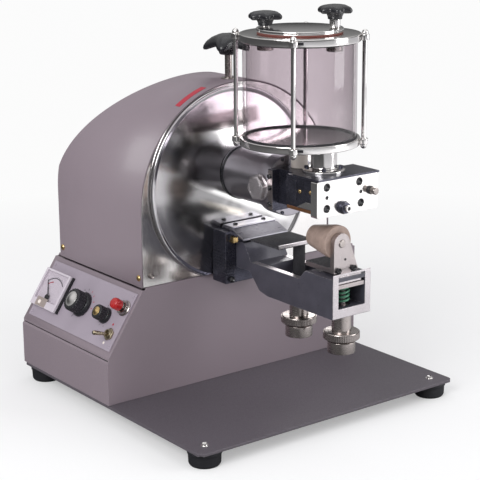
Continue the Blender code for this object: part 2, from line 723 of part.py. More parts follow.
def head_bracket(dark):
    rear = TUBE_AHEAD + GAP
    back = block((-38 * MM, -rear - 9 * MM, -28 * MM), (36 * MM, -rear, BRACKET_RISE))
    at = (HEAD_X, FACE_Y, SPINDLE_Z)
    bracket = place("head_bracket", back, dark, at)
    arm = block((-26 * MM, -BODY_BACK + GAP, -19 * MM), (30 * MM, -rear - 7 * MM, BRACKET_RISE))
    fuse(bracket, arm)
    cut(bracket, disc(SHAFT_RADIUS + 1 * MM, 0, rear + 12 * MM, 20, "Y"))
    cut(bracket, disc(DRIVE_END + RUN, 0, 0.3, 16, "Y"))


def pump(polished, dark, metal):
    at = (0, FACE_Y, 0)
    front = -PUMP_AHEAD + COVER_THICK + GAP
    low, high = PUMP_LOW + 3 * MM, PUMP_HIGH - GAP
    body = block((PUMP_LEFT + 5 * MM, front, low), (PUMP_RIGHT - 6 * MM, -BODY_BACK, high))
    body = place("pump_body", body, dark, at)
    chamber = GEAR_PITCH + 2.2 * MM
    depth = PUMP_AHEAD - COVER_THICK - GEAR_WIDTH - 2.5 * MM
    first = (HEAD_X, FACE_Y, SPINDLE_Z)
    second = (HEAD_X + GEAR_SPACING, FACE_Y, SPINDLE_Z)
    cut(body, disc(chamber, depth, 0.3, 24, "Y"), first)
    cut(body, disc(chamber, depth, 0.3, 24, "Y"), second)
    cut(body, disc(DRIVE_END + RUN, 0, 0.3, 16, "Y"), first)
    cut(body, disc(IDLER_PIN + RUN, depth - 9 * MM, 0.3, 16, "Y"), second)
    port = (PORT_X, ahead(PORT_AHEAD), 0)
    cut(body, disc(PORT_RADIUS, low - 5 * MM, high + 5 * MM, 16), port)
    pump_cover(polished)
    plate = block(
        (PUMP_LEFT, -PUMP_AHEAD - 3 * MM, PUMP_HIGH + GAP),
        (PUMP_RIGHT, -168 * MM, PUMP_HIGH + GAP + PLATE_OVER_PUMP),
    )
    plate = place("pump_top_plate", plate, dark, at)
    cut(plate, disc(NECK_FLANGE + GAP, 0.3, 0.4, 28), (HEAD_X, ahead(NECK_AHEAD), 0))
    outlet = tube(5.5 * MM, 2.5 * MM, NOZZLE_TIP, low - GAP, 16)
    nozzle = place("nozzle", outlet, metal, port)
    fuse(nozzle, tube(8 * MM, 2.6 * MM, low - 3 * MM, low - GAP, 16))


def pump_cover(polished):
    """The polished front cover, with a stepped adjusting stub and a plain peg."""
    back = -PUMP_AHEAD + COVER_THICK
    slab = block((PUMP_LEFT, -PUMP_AHEAD, PUMP_LOW), (PUMP_RIGHT, back, PUMP_HIGH))
    bmesh.ops.bevel(slab, geom=list(slab.edges), offset=1 * MM, segments=1, affect="EDGES")
    cover = place("pump_cover", slab, polished, (0, FACE_Y, 0))
    stub = [(0, PUMP_AHEAD - 3 * MM), (6.5 * MM, PUMP_AHEAD - 3 * MM), (6.5 * MM, PUMP_AHEAD + 6 * MM)]
    stub += [(3.6 * MM, PUMP_AHEAD + 6.5 * MM), (3.6 * MM, PUMP_AHEAD + 12 * MM)]
    stub += [(2 * MM, PUMP_AHEAD + 12 * MM), (2 * MM, PUMP_AHEAD + 7 * MM), (0, PUMP_AHEAD + 7 * MM)]
    fuse(cover, turned(stub, 16, "Y"), (STUB_AT[0], FACE_Y, STUB_AT[1]))
    peg = disc(4.5 * MM, PUMP_AHEAD - 3 * MM, PUMP_AHEAD + 13 * MM, 16, "Y")
    fuse(cover, peg, (PEG_AT[0], FACE_Y, PEG_AT[1]))


# ---------------------------------------------------------------- hopper


def hopper(polished, clear, ivory, red, black):
    axis = (HEAD_X, ahead(HOPPER_AHEAD), 0)
    low = HOPPER_LOW + RING_THICK
    high = HOPPER_HIGH - RING_THICK
    post = disc(POST_RADIUS, SPINDLE_Z + BRACKET_RISE + GAP, HOPPER_LOW - GAP, 20)
    place("hopper_post", post, ivory, axis)
    foot = PUMP_HIGH
    top = HOPPER_LOW - GAP
    neck = [(NECK_BORE, foot), (NECK_FLANGE, foot), (NECK_FLANGE, foot + 6.5 * MM)]
    neck += [(NECK_RADIUS, foot + 8.5 * MM), (NECK_RADIUS, top), (NECK_BORE, top)]
    place("hopper_neck", turned(neck, 28), polished, (HEAD_X, ahead(NECK_AHEAD), 0))
    base_ring = place("hopper_base", disc(RING_RADIUS, HOPPER_LOW, low, 48), polished, axis)
    cut(base_ring, disc(NECK_BORE, 0.3, 0.5, 20), (HEAD_X, ahead(NECK_AHEAD), 0))
    wall = tube(GLASS_RADIUS, GLASS_RADIUS - GLASS_WALL, low + GAP, high - GAP, 40)
    place("hopper_cylinder", wall, clear, axis)
    top_ring = place("hopper_top", disc(RING_RADIUS, high, HOPPER_HIGH, 48), polished, axis)
    cut(top_ring, disc(FILL_RADIUS, 0.3, 0.6, 28))
    for i, name in enumerate(("back_right", "back_left", "front_left", "front_right")):
        angle = math.pi / 4 + i * math.pi / 2
        spot = Vector((math.cos(angle), math.sin(angle), 0)) * ROD_CIRCLE + Vector(axis)
        fuse(base_ring, disc(LUG_RADIUS, HOPPER_LOW + LUG_STEP, low - LUG_STEP, 16), spot)
        fuse(top_ring, disc(LUG_RADIUS, high + LUG_STEP, HOPPER_HIGH - LUG_STEP, 16), spot)
        cut(base_ring, disc(ROD_RADIUS + GAP, 0.3, 0.6, 12), spot)
        cut(top_ring, disc(ROD_RADIUS + GAP, 0.3, 0.6, 12), spot)
        rod = disc(ROD_RADIUS, HOPPER_LOW - 6 * MM, HOPPER_HIGH + 5 * MM, 12)
        place(f"tie_rod_{name}", rod, polished, spot)
    lid(top_ring, axis, polished, red, black)


def lid(top_ring, axis, polished, red, black):
    """The lid, its seal and its two captive screws, and the threaded bosses they enter."""
    seal_low = HOPPER_HIGH + GAP
    seal_high = seal_low + GASKET_THICK
    lid_low = seal_high + GAP
    seal = place("lid_gasket", tube(LID_RADIUS - 1 * MM, FILL_RADIUS, seal_low, seal_high, 32), red, axis)
    cover = place("hopper_lid", disc(LID_RADIUS, lid_low, lid_low + LID_THICK, 36), polished, axis)
    top = lid_low + LID_THICK
    high = HOPPER_HIGH - RING_THICK
    bush = 9.5 * MM
    for side, turn in (("left", LID_KNOB_TURN + math.pi), ("right", LID_KNOB_TURN)):
        spot = Vector((math.cos(turn), math.sin(turn), 0)) * LID_KNOB_CIRCLE + Vector(axis)
        fuse(top_ring, disc(10.5 * MM, high - BOSS_DEEP, high + 1 * MM, 18), spot)
        for piece in (top_ring, seal, cover):
            cut(piece, disc(LID_SCREW_RADIUS + RUN, 0.3, 0.6, 16), spot)
        low = top + GAP + LID_KNOB_LIFT[side]
        tip = high - 11 * MM + LID_KNOB_LIFT[side]
        screw = [(0, tip), (LID_SCREW_RADIUS, tip), (LID_SCREW_RADIUS, low), (bush, low)]
        screw += [(bush, low + KNOB_BUSH), (0, low + KNOB_BUSH)]
        knob = place(f"lid_knob_{side}", turned(screw, 18), black, spot)
        crown = low + KNOB_BUSH - 1 * MM
        fuse(knob, star(LID_KNOB_RADIUS, 6 * MM, 6, crown, crown + KNOB_HEAD))


# ---------------------------------------------------------------- lower arm


def arm_bracket(cast):
    bracket = block((-46 * MM, -BRACKET_FACE, 168 * MM), (38 * MM, -4.6 * MM, BRACKET_TOP))
    place("arm_bracket", bracket, cast, (0, FACE_Y, 0))


def lower_arm(cast):
    """A hollow arm, open along its top and at its front end."""
    outline = [(-BRACKET_FACE - GAP, 226 * MM), (-BRACKET_FACE - GAP, 190 * MM), (-64 * MM, 190 * MM)]
    outline += [(-84 * MM, 168 * MM), (-102 * MM, ARM_LOW), (-ARM_AHEAD, ARM_LOW)]
    outline += [(-ARM_AHEAD, ARM_HIGH), (-178 * MM, ARM_HIGH), (-166 * MM, ARM_RIM)]
    outline += [(-66 * MM, ARM_RIM), (-52 * MM, 226 * MM)]
    at = (0, FACE_Y, 0)
    arm = place("lower_arm", prism(outline, ARM_LEFT, ARM_RIGHT, "X"), cast, at)
    left, right = ARM_LEFT + ARM_WALL, ARM_RIGHT - ARM_WALL
    ceiling = ARM_HIGH - 5 * MM
    cut(arm, block((left, -ARM_AHEAD - 9 * MM, ARM_FLOOR), (right, -90 * MM, ceiling)))
    cut(arm, block((left, -160 * MM, ARM_FLOOR), (right, -90 * MM, ARM_HIGH + 20 * MM)))
    slot = block((-8 * MM, -226 * MM, ceiling - 5 * MM), (14 * MM, -188 * MM, ARM_HIGH + 5 * MM))
    cut(arm, slot)
    for distance in (FRONT_STUD, REAR_STUD):
        hole = disc(SLEEVE_RADIUS + RUN, ARM_LOW - 10 * MM, ARM_FLOOR + 5 * MM, 20)
        cut(arm, hole, (HEAD_X, ahead(distance), 0))


def adjusting_nut(name, distance, steel):
    """A thumb nut: knurled rim, lower collar, and a sleeve whose neck turns in the arm's floor."""
    rim_low, rim_high = NUT_LOW + 12.5 * MM, NUT_LOW + 28 * MM
    bore = STUD_RADIUS + RUN
    neck = ARM_LOW - GAP
    profile = [(bore, NUT_LOW), (18 * MM, NUT_LOW), (18 * MM, rim_low), (NUT_RADIUS, rim_low)]
    profile += [(NUT_RADIUS, rim_high), (NUT_SLEEVE, rim_high), (NUT_SLEEVE, neck)]
    profile += [(SLEEVE_RADIUS, neck), (SLEEVE_RADIUS, ARM_FLOOR - 1 * MM), (bore, ARM_FLOOR - 1 * MM)]
    place(name, turned(profile, 24), steel, (HEAD_X, ahead(distance), 0))


def ear_outline():
    """A lug with one upright and one slanting side, and a round top about the pin."""
    points = [(ROLLER_X - EAR_TOP, SADDLE_LOW), (HEAD_X + 20 * MM, SADDLE_LOW)]
    for i in range(9):
        angle = math.radians(12) + math.radians(168) * i / 8
        points.append((ROLLER_X + EAR_TOP * math.cos(angle), ROLLER_Z + EAR_TOP * math.sin(angle)))
    return points


def clevis(steel, tan, metal):
    """The roller's saddle slides in the arm's end: an ear, a tongue, a spring bar and a stud."""
    at = (0, FACE_Y, 0)
    ear = prism(ear_outline(), -EAR_FRONT, -EAR_FRONT + EAR_THICK, "Y")
    saddle = place("clevis", ear, steel, at)
    floor = block(
        (ROLLER_X - EAR_TOP + 0.5 * MM, -EAR_FRONT + 1 * MM, SADDLE_LOW),
        (HEAD_X + 19 * MM, -SADDLE_BACK, SADDLE_HIGH),
    )
    fuse(saddle, floor)
    tongue = block(
        (HEAD_X - 9 * MM, -EAR_FRONT + 1 * MM, BAR_LOW + 1 * MM),
        (HEAD_X + 9 * MM, -190 * MM, SADDLE_LOW + 2 * MM),
    )
    fuse(saddle, tongue)
    bar = block(
        (ARM_LEFT + ARM_WALL + RUN, -ARM_AHEAD + 1 * MM, BAR_LOW),
        (ARM_RIGHT - ARM_WALL - RUN, -190 * MM, BAR_HIGH),
    )
    fuse(saddle, bar)
    stud_at = (HEAD_X, ahead(FRONT_STUD), 0)
    fuse(saddle, disc(STUD_RADIUS, NUT_LOW + 2 * MM, BAR_LOW + 2 * MM, 16), stud_at)
    roller_at = (ROLLER_X, FACE_Y, ROLLER_Z)
    cut(saddle, disc(PIN_RADIUS + GAP, 0.1, 0.3, 16, "Y"), roller_at)
    pin = disc(PIN_RADIUS, ROLLER_BACK - 3 * MM, EAR_FRONT + 0.5 * MM, 16, "Y")
    fuse(place("roller_pin", pin, metal, roller_at), disc(8 * MM, ROLLER_BACK - 3 * MM, ROLLER_BACK - GAP, 16, "Y"))
    roller(tan, roller_at)


def roller(tan, at):
    """A tapered press roller, wider at its front end."""
    bore = PIN_RADIUS + RUN
    low, high = ROLLER_BACK, EAR_FRONT - EAR_THICK - 0.6 * MM
    profile = [(bore, low), (ROLLER_SMALL_END, low), (ROLLER_RADIUS, high - 8 * MM)]
    profile += [(ROLLER_RADIUS, high), (bore, high)]
    place("roller", turned(profile, 28, "Y"), tan, at)


def press_spring(green):
    at = (HEAD_X, ahead(FRONT_STUD), 0)
    place("press_spring", coil(8.5 * MM, 1.5 * MM, ARM_FLOOR + GAP, BAR_LOW - GAP, 4), green, at)


def tray(dark):
    """The capsule tray: a flat plate with a turned-up lip, on a post and its adjusting stud."""
    lip = TRAY_THICK + 2.5 * MM
    outline = [(-TRAY_FRONT, 0), (-TRAY_BACK, 0), (-TRAY_BACK, TRAY_THICK)]
    outline += [(-TRAY_FRONT + 2 * MM, TRAY_THICK), (-TRAY_FRONT + 2 * MM, lip), (-TRAY_FRONT, lip)]
    plate = place("tray", prism(outline, TRAY_LEFT, TRAY_RIGHT, "X"), dark, (0, FACE_Y, TRAY_Z))
    at = (HEAD_X, ahead(REAR_STUD), 0)
    fuse(plate, disc(8 * MM, ARM_FLOOR + 4 * MM, TRAY_Z + 1 * MM, 16), at)
    fuse(plate, disc(STUD_RADIUS, NUT_LOW + 2 * MM, ARM_FLOOR + 5 * MM, 16), at)


def chute(polished):
    """The bent guide over the tray: a flat root on the bracket, then a slope towards the tray."""
    root, lip = BRACKET_TOP + GAP, 231 * MM
    outline = [(-10 * MM, root), (-BRACKET_FACE, root), (-CHUTE_END, lip), (-CHUTE_END, lip + CHUTE_THICK)]
    outline += [(-BRACKET_FACE, root + CHUTE_THICK), (-10 * MM, root + CHUTE_THICK)]
    place("chute", prism(outline, -34 * MM, 42 * MM, "X"), polished, (0, FACE_Y, 0))


# ---------------------------------------------------------------- assembly

clear_scene()
PAINT = material("Grey lilac paint", (0.33, 0.29, 0.31), 0.45)
BASE_PAINT = material("Base grey paint", (0.22, 0.20, 0.21), 0.5)
PANEL = material("Panel grey", (0.62, 0.56, 0.62), 0.4)
POLISHED = material("Polished stainless", (0.75, 0.73, 0.72), 0.12, 1.0)
METAL = material("Turned steel", (0.55, 0.53, 0.52), 0.3, 1.0)
DARK = material("Dark steel", (0.10, 0.10, 0.12), 0.35, 0.9)
CAST = material("Slate casting", (0.13, 0.15, 0.18), 0.45, 0.3)
BRASS = material("Brass", (0.70, 0.52, 0.25), 0.25, 1.0)
BLACK = material("Black plastic", (0.015, 0.015, 0.017), 0.35)
RUBBER = material("Black rubber", (0.02, 0.02, 0.02), 0.8)
IVORY = material("Ivory plastic", (0.78, 0.70, 0.62), 0.4)
RED = material("Red plastic", (0.55, 0.03, 0.02), 0.3)
TAN = material("Tan rubber", (0.40, 0.29, 0.22), 0.6)
CLEAR = material("Clear acrylic", (0.85, 0.85, 0.88), 0.05)
GREEN = material("Green enamel", (0.10, 0.28, 0.18), 0.4)

base(BASE_PAINT, RUBBER)
slope = console(PAINT, PANEL)
controls(slope, BLACK, IVORY, RED, METAL, DARK)
hood(PAINT, POLISHED, METAL, BLACK)
bulkhead(CAST)
spindle_housing(DARK)
bearings(METAL)
oil_plug(METAL)
spindle(METAL, CAST, BRASS)
motor(CAST, METAL)
belt(RUBBER)
speed_controller(GREEN)
head_bracket(DARK)
pump(POLISHED, DARK, METAL)
hopper(POLISHED, CLEAR, IVORY, RED, BLACK)
arm_bracket(CAST)
lower_arm(CAST)
adjusting_nut("front_nut", FRONT_STUD, METAL)
adjusting_nut("rear_nut", REAR_STUD, METAL)
clevis(POLISHED, TAN, METAL)
press_spring(GREEN)
tray(DARK)
chute(METAL)
centre_footprint()
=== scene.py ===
"""Looks of the bench-top capsule filler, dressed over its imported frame.

Shapes are drawn in millimetres, in the frame's own axes, and piece() turns them to its metres.
Materials and the studio are in metres. On ahead_plane a shape maps (x, z, distance in front of the
face), and on slope_plane (up the slope, towards the back, off the panel).
"""

import json
from math import atan2, cos, hypot, pi, radians, sin, sqrt

import bmesh
import bpy
from mathutils import Matrix, Vector


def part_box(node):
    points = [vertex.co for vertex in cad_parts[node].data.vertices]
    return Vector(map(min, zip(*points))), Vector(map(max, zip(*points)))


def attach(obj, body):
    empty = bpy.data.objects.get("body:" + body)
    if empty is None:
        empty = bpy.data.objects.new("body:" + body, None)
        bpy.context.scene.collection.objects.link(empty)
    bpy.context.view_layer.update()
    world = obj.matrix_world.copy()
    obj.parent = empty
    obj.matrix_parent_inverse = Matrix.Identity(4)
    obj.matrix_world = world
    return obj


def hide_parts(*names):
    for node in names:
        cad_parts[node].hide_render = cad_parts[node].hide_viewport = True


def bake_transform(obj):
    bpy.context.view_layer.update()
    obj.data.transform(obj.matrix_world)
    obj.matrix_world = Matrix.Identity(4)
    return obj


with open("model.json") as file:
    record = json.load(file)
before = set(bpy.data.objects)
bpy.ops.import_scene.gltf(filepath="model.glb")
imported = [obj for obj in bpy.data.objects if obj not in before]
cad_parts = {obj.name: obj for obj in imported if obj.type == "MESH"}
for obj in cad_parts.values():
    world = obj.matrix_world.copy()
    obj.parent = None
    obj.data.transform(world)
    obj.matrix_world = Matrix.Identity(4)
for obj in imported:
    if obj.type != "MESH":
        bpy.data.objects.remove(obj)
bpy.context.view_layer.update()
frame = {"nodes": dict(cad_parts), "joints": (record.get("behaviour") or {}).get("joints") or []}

MM = 0.001
TO_METRES = Matrix.Scale(MM, 4)
JOINTS = {joint["name"]: joint for joint in frame["joints"]}
NODES = frame["nodes"]
FINE = 96  # facets of a large round piece
SMALL = 40  # facets of a small round piece


def joint_at(name):
    return Vector(JOINTS[name]["pos_m"]) / MM


def box_of(node):
    """A node's lowest and highest corners and its middle, in millimetres."""
    low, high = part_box(node)
    return low / MM, high / MM, (low + high) / 2 / MM


SPINDLE = joint_at("spindle_spin")
FACE_Y = SPINDLE.y  # the console's face, the hood's and the plate's
MIDDLE = box_of("base_plate")[2].x  # the base plate's own centre line
SLOPE_NORMAL = Vector(JOINTS["speed_knob_turn"]["axis"]).normalized()
SLOPE_UP = Vector((SLOPE_NORMAL.z, 0, -SLOPE_NORMAL.x))


def ahead_plane(x, z, distance=0.0):
    """Local (x, z, distance ahead) placed at a point of the console's face plane."""
    turn = Matrix(((1, 0, 0), (0, 0, -1), (0, 1, 0))).to_4x4()
    return shift(x, FACE_Y - distance, z) @ turn


def left_plane(x, y, z):
    """Local Z points to -X: for what sits on a left-hand side."""
    turn = Matrix(((0, 0, -1), (-1, 0, 0), (0, 1, 0))).to_4x4()
    return shift(x, y, z) @ turn


def slope_plane(spot):
    """Local (up the slope, towards the back, off the panel) at a point on the slope."""
    turn = Matrix((SLOPE_UP, (0, 1, 0), SLOPE_NORMAL)).transposed().to_4x4()
    return Matrix.Translation(spot) @ turn


def shift(x, y, z=0.0):
    return Matrix.Translation((x, y, z))


def spin(angle):
    return Matrix.Rotation(angle, 4, "Z")


# ---------------------------------------------------------------- materials


def nodes_of(name):
    made = bpy.data.materials.new(name)
    made.use_nodes = True
    return made, made.node_tree, made.node_tree.nodes["Principled BSDF"]


def feed(socket, value):
    """Links an input to another node's output, or sets it to a plain value."""
    if isinstance(value, bpy.types.NodeSocket):
        socket.id_data.links.new(value, socket)
    else:
        socket.default_value = value


def feed_all(node, values):
    for key, value in values.items():
        feed(node.inputs[key], value)


def add(tree, kind, values=None, **settings):
    """A new shader node with its settings and its inputs."""
    node = tree.nodes.new(f"ShaderNode{kind}")
    for key, value in settings.items():
        setattr(node, key, value)
    feed_all(node, values or {})
    return node


def uneven(tree, height, strength, depth):
    """The normals of a surface that is rough by this height, which a texture gives."""
    values = {"Height": height, "Strength": strength, "Distance": depth}
    return add(tree, "Bump", values).outputs["Normal"]


def rgb(colour):
    return (*colour, 1.0)


def noise(tree, scale, detail=3.0, stretch=(1, 1, 1)):
    """Noise over the object's own metres, drawn out along an axis by a small stretch value."""
    place = add(tree, "TexCoord").outputs["Object"]
    mapped = add(tree, "Mapping", {"Vector": place, "Scale": stretch})
    values = {"Vector": mapped.outputs["Vector"], "Scale": scale, "Detail": detail}
    return add(tree, "TexNoise", values).outputs["Fac"]


def spread(tree, fac, low, high, from_low=0.3, from_high=0.7):
    values = {"Value": fac, "From Min": from_low, "From Max": from_high, "To Min": low, "To Max": high}
    return add(tree, "MapRange", values).outputs["Result"]


def calc(tree, operation, *values):
    return add(tree, "Math", dict(enumerate(values)), operation=operation).outputs["Value"]


def mixed(tree, fac, first, second):
    node = add(tree, "Mix", data_type="RGBA")
    for key, value in (("Factor", fac), ("A", first), ("B", second)):
        kind = "VALUE" if key == "Factor" else "RGBA"
        feed(next(s for s in node.inputs if s.name == key and s.type == kind), value)
    return next(s for s in node.outputs if s.type == "RGBA")


def edges(tree, radius, grain):
    """Strong along outer edges, broken up by a grain."""
    soft = add(tree, "Bevel", {"Radius": radius}, samples=4).outputs["Normal"]
    flat = add(tree, "NewGeometry").outputs["Normal"]
    likeness = add(tree, "VectorMath", {0: soft, 1: flat}, operation="DOT_PRODUCT")
    mask = spread(tree, likeness.outputs["Value"], 1.0, 0.0, 0.86, 0.985)
    return calc(tree, "MULTIPLY", mask, spread(tree, grain, 0.0, 1.0, 0.45, 0.62))


def finish(name, colour, rough, metal=0.0, mottle=0.05, grain=900, bump=0.05, vary=0.25,
           stretch=(1, 1, 1), wear=None, coat=0.0, patch=30):
    """A surface with mottled colour, uneven roughness, a fine grain and, if asked, worn edges."""
    made, tree, shader = nodes_of(name)
    cloud = noise(tree, patch, 4.0)
    dark = rgb([c * (1 - mottle) for c in colour])
    light = rgb([min(1, c * (1 + mottle)) for c in colour])
    tint = mixed(tree, spread(tree, cloud, 0, 1), dark, light)
    fine = noise(tree, grain, 3.0, stretch)
    shine = spread(tree, fine, rough * (1 - vary), rough * (1 + vary))
    if wear:
        worn = edges(tree, 0.9 * MM, noise(tree, 260, 5.0))
        tint = mixed(tree, worn, tint, rgb(wear))
    feed_all(shader, {"Base Color": tint, "Roughness": shine, "Metallic": metal, "Coat Weight": coat,
                      "Coat Roughness": 0.12, "Normal": uneven(tree, fine, bump, 0.3 * MM)})
    return made


def clear_sheet(name, face_on, edge_on):
    """Clear plastic: lets light straight through, reflects at a glance, darker on edge."""
    made, tree, shader = nodes_of(name)
    tree.nodes.remove(shader)
    facing = add(tree, "LayerWeight", {"Blend": 0.35}).outputs["Facing"]
    drawn = noise(tree, 24, 2.0, (1, 1, 0.05))
    tint = mixed(tree, facing, rgb(face_on), rgb(edge_on))
    through = add(tree, "BsdfTransparent", {"Color": tint}).outputs["BSDF"]
    values = {"Color": rgb((1, 1, 1)), "Roughness": spread(tree, drawn, 0.03, 0.12)}
    shine = add(tree, "BsdfGlossy", values).outputs["BSDF"]
    glance = add(tree, "Fresnel", {"IOR": 1.45}).outputs["Fac"]
    inside = add(tree, "NewGeometry").outputs["Backfacing"]
    outside = spread(tree, inside, 0.9, 0.0, 0.0, 1.0)
    share = calc(tree, "MULTIPLY", glance, outside)
    blend = add(tree, "MixShader", {"Fac": share, 1: through, 2: shine}).outputs["Shader"]
    feed(tree.nodes["Material Output"].inputs["Surface"], blend)
    return made


def painted_band(tree, across, up, level, lean, half, grow=0.0, start=-1.0, end=1.0):
    """A slanting band mask for a painted highlight or a painted shadow, between two places across, whose
    half width grows to the right.
    """
    above = calc(tree, "SUBTRACT", up, level)
    away = calc(tree, "ABSOLUTE", calc(tree, "MULTIPLY_ADD", across, -lean, above))
    beyond = calc(tree, "SUBTRACT", away, calc(tree, "MULTIPLY_ADD", across, grow, half))
    inside = spread(tree, beyond, 1.0, 0.0, -3 * MM, 3 * MM)
    begun = spread(tree, across, 0.0, 1.0, start - 8 * MM, start + 8 * MM)
    going = spread(tree, across, 1.0, 0.0, end - 6 * MM, end + 6 * MM)
    return calc(tree, "MULTIPLY", inside, calc(tree, "MULTIPLY", begun, going))


def dish_steel_painted_light(centre):
    """The dish's steel with painted light: bright and dark fans round the centre as painted reflections,
    slanting bands of painted shadow and painted highlight, and fine rings across them.
    """
    made, tree, shader = nodes_of("Spun stainless, painted reflections")
    place = add(tree, "NewGeometry").outputs["Position"]
    off = add(tree, "VectorMath", {0: place, 1: centre}, operation="SUBTRACT")
    local = off.outputs["Vector"]
    across, _, up = add(tree, "SeparateXYZ", {"Vector": local}).outputs
    angle = calc(tree, "ARCTAN2", up, across)
    reach = add(tree, "VectorMath", {0: local}, operation="LENGTH").outputs["Value"]
    wave = spread(tree, noise(tree, 9, 3.0), -0.28, 0.28)
    first = -143  # degrees, where the round of painted reflection fans starts
    start = radians(first)
    share = spread(tree, calc(tree, "ADD", angle, wave), 0.0, 1.0, start, start + 2 * pi)
    ramp = add(tree, "ValToRGB", {"Fac": share})
    # Painted reflections: light and dark sectors of the base colour round the centre, standing in for
    # what the metal would mirror.
    fans = [(-143, 0.32), (-125, 0.40), (-108, 0.30), (-92, 0.40), (-72, 0.35), (-50, 0.60), (-36, 0.40),
            (-26, 0.95), (20, 1.00), (48, 0.95), (60, 0.60), (74, 0.90), (104, 0.95), (116, 0.30),
            (136, 0.22), (160, 0.24), (172, 0.26), (178, 0.42), (184, 0.30), (200, 0.34), (217, 0.32)]
    stops = [((angle - first) / 360, level) for angle, level in fans]
    band = ramp.color_ramp
    while len(band.elements) < len(stops):
        band.elements.new(0.5)
    for element, (at, level) in zip(band.elements, stops):
        element.position = at
        element.color = (level * 0.97, level * 0.95, level * 0.96, 1)
    # Painted shadow: a dark slanting band across the dish's upper part.
    shadow = painted_band(tree, across, up, 90 * MM, 0.05, 11 * MM, 0.0, -0.2, 44 * MM)
    fanned = mixed(tree, shadow, ramp.outputs["Color"], rgb((0.27, 0.24, 0.245)))
    # Painted reflections: a white slanting band just below the centre, and a narrower warm one below it.
    glare = painted_band(tree, across, up, -12 * MM, -0.327, 12 * MM, 0.13, -72 * MM)
    fanned = mixed(tree, glare, fanned, rgb((1.0, 0.99, 0.97)))
    second = painted_band(tree, across, up, -38 * MM, -0.36, 4 * MM, 0.02, -52 * MM, 14 * MM)
    fanned = mixed(tree, second, fanned, rgb((0.95, 0.88, 0.80)))
    rim = spread(tree, reach, 0.0, 1.0, 0.10, 0.130)
    tint = mixed(tree, rim, fanned, rgb((0.62, 0.60, 0.62)))
    rings = add(tree, "TexNoise", {"W": reach, "Scale": 2500, "Detail": 2.0},
                noise_dimensions="1D").outputs["Fac"]
    feed_all(shader, {"Base Color": tint, "Roughness": spread(tree, rings, 0.10, 0.20),
                      "Metallic": 1.0, "Normal": uneven(tree, rings, 0.06, 0.1 * MM)})
    return made


PAINT = finish("Grey mauve enamel", (0.225, 0.183, 0.208), 0.42, mottle=0.03, grain=700,
               bump=0.1, wear=(0.34, 0.29, 0.32), coat=0.1, patch=6)
BASE_PAINT = finish("Base grey enamel", (0.092, 0.08, 0.095), 0.5, grain=1100, bump=0.12,
                    wear=(0.25, 0.24, 0.25), patch=8)
PANEL = finish("Panel lilac grey", (0.33, 0.285, 0.335), 0.38, mottle=0.03, bump=0.04)
POLISHED = finish("Polished stainless", (0.8, 0.78, 0.77), 0.13, 1.0, mottle=0.04,
                  grain=500, bump=0.015, stretch=(1, 1, 0.2))
SATIN = finish("Satin stainless", (0.47, 0.425, 0.425), 0.34, 1.0, grain=1600, bump=0.04,
               stretch=(0.12, 1, 1))
TURNED = finish("Turned steel", (0.4, 0.36, 0.345), 0.24, 1.0, mottle=0.1, grain=1500,
                bump=0.06, stretch=(0.15, 0.15, 1))
DARK = finish("Dark steel", (0.075, 0.075, 0.1), 0.3, 0.85, mottle=0.25, grain=700,
              wear=(0.35, 0.33, 0.34), patch=60)
TUBE = finish("Blued tube", (0.4, 0.38, 0.42), 0.3, 0.95, mottle=0.06, grain=120, bump=0.0,
              vary=0.08, stretch=(1, 0.05, 1), patch=18)
CAST = finish("Slate casting", (0.064, 0.062, 0.08), 0.36, 0.25, mottle=0.12, grain=420,
              bump=0.22, wear=(0.34, 0.33, 0.36), coat=0.25, patch=50)
BRIGHT_RIM = finish("Machined rim", (0.62, 0.58, 0.6), 0.3, 0.9, mottle=0.08, grain=1200)
SHADE = finish("Beige moulding", (0.3, 0.25, 0.23), 0.4, mottle=0.06, grain=800)
PLATED = finish("Worn nickel on brass", (0.42, 0.36, 0.26), 0.28, 1.0, mottle=0.2,
                grain=700)
BRASS = finish("Brass", (0.72, 0.52, 0.24), 0.25, 1.0, mottle=0.12)
COPPER = finish("Copper strip", (0.62, 0.3, 0.16), 0.35, 1.0, mottle=0.15)
BLACK = finish("Black phenolic", (0.012, 0.012, 0.015), 0.26, mottle=0.2, grain=600,
               wear=(0.05, 0.05, 0.055), coat=0.1)
RUBBER = finish("Black rubber", (0.012, 0.012, 0.016), 0.62, mottle=0.2, grain=1400, bump=0.25)
IVORY = finish("Ivory plastic", (0.8, 0.72, 0.66), 0.35, grain=800, coat=0.2)
METER_WHITE = finish("Meter face", (0.57, 0.52, 0.57), 0.4, mottle=0.03, bump=0.02)
RED = finish("Red plastic", (0.36, 0.01, 0.012), 0.25, mottle=0.1, grain=600, bump=0.04,
             coat=0.4)
RED_MARK = finish("Red marking", (0.4, 0.012, 0.035), 0.45, mottle=0.08, bump=0.03)
INK = finish("Dark printing", (0.05, 0.045, 0.06), 0.5, mottle=0.15, bump=0.02)
GASKET = finish("Red-brown silicone", (0.16, 0.045, 0.035), 0.5, mottle=0.15, bump=0.12)
TAN = finish("Tan rubber", (0.3, 0.22, 0.185), 0.5, mottle=0.16, grain=500, bump=0.18,
             patch=120)
# Near-black and rough: drawn on the tray, and as painted shade on the saddle's top sheet.
TRAY_AND_SHADE = finish("Near-black tray and painted shade", (0.022, 0.021, 0.026), 0.75, 0.0, mottle=0.2, grain=700,
              bump=0.06, wear=(0.3, 0.29, 0.3), patch=60)
CHUTE = finish("Bent steel sheet", (0.36, 0.35, 0.39), 0.34, 1.0, mottle=0.12,
               grain=500, bump=0.01, stretch=(0.1, 1, 1), patch=40)
GREEN = finish("Green enamel", (0.06, 0.2, 0.12), 0.35, mottle=0.15, grain=700,
               bump=0.08)
CLEAR = clear_sheet("Clear acrylic", (0.87, 0.835, 0.855), (0.66, 0.63, 0.645))
PANE = clear_sheet("Meter window", (0.985, 0.98, 0.985), (0.95, 0.94, 0.95))


# ---------------------------------------------------------------- shapes


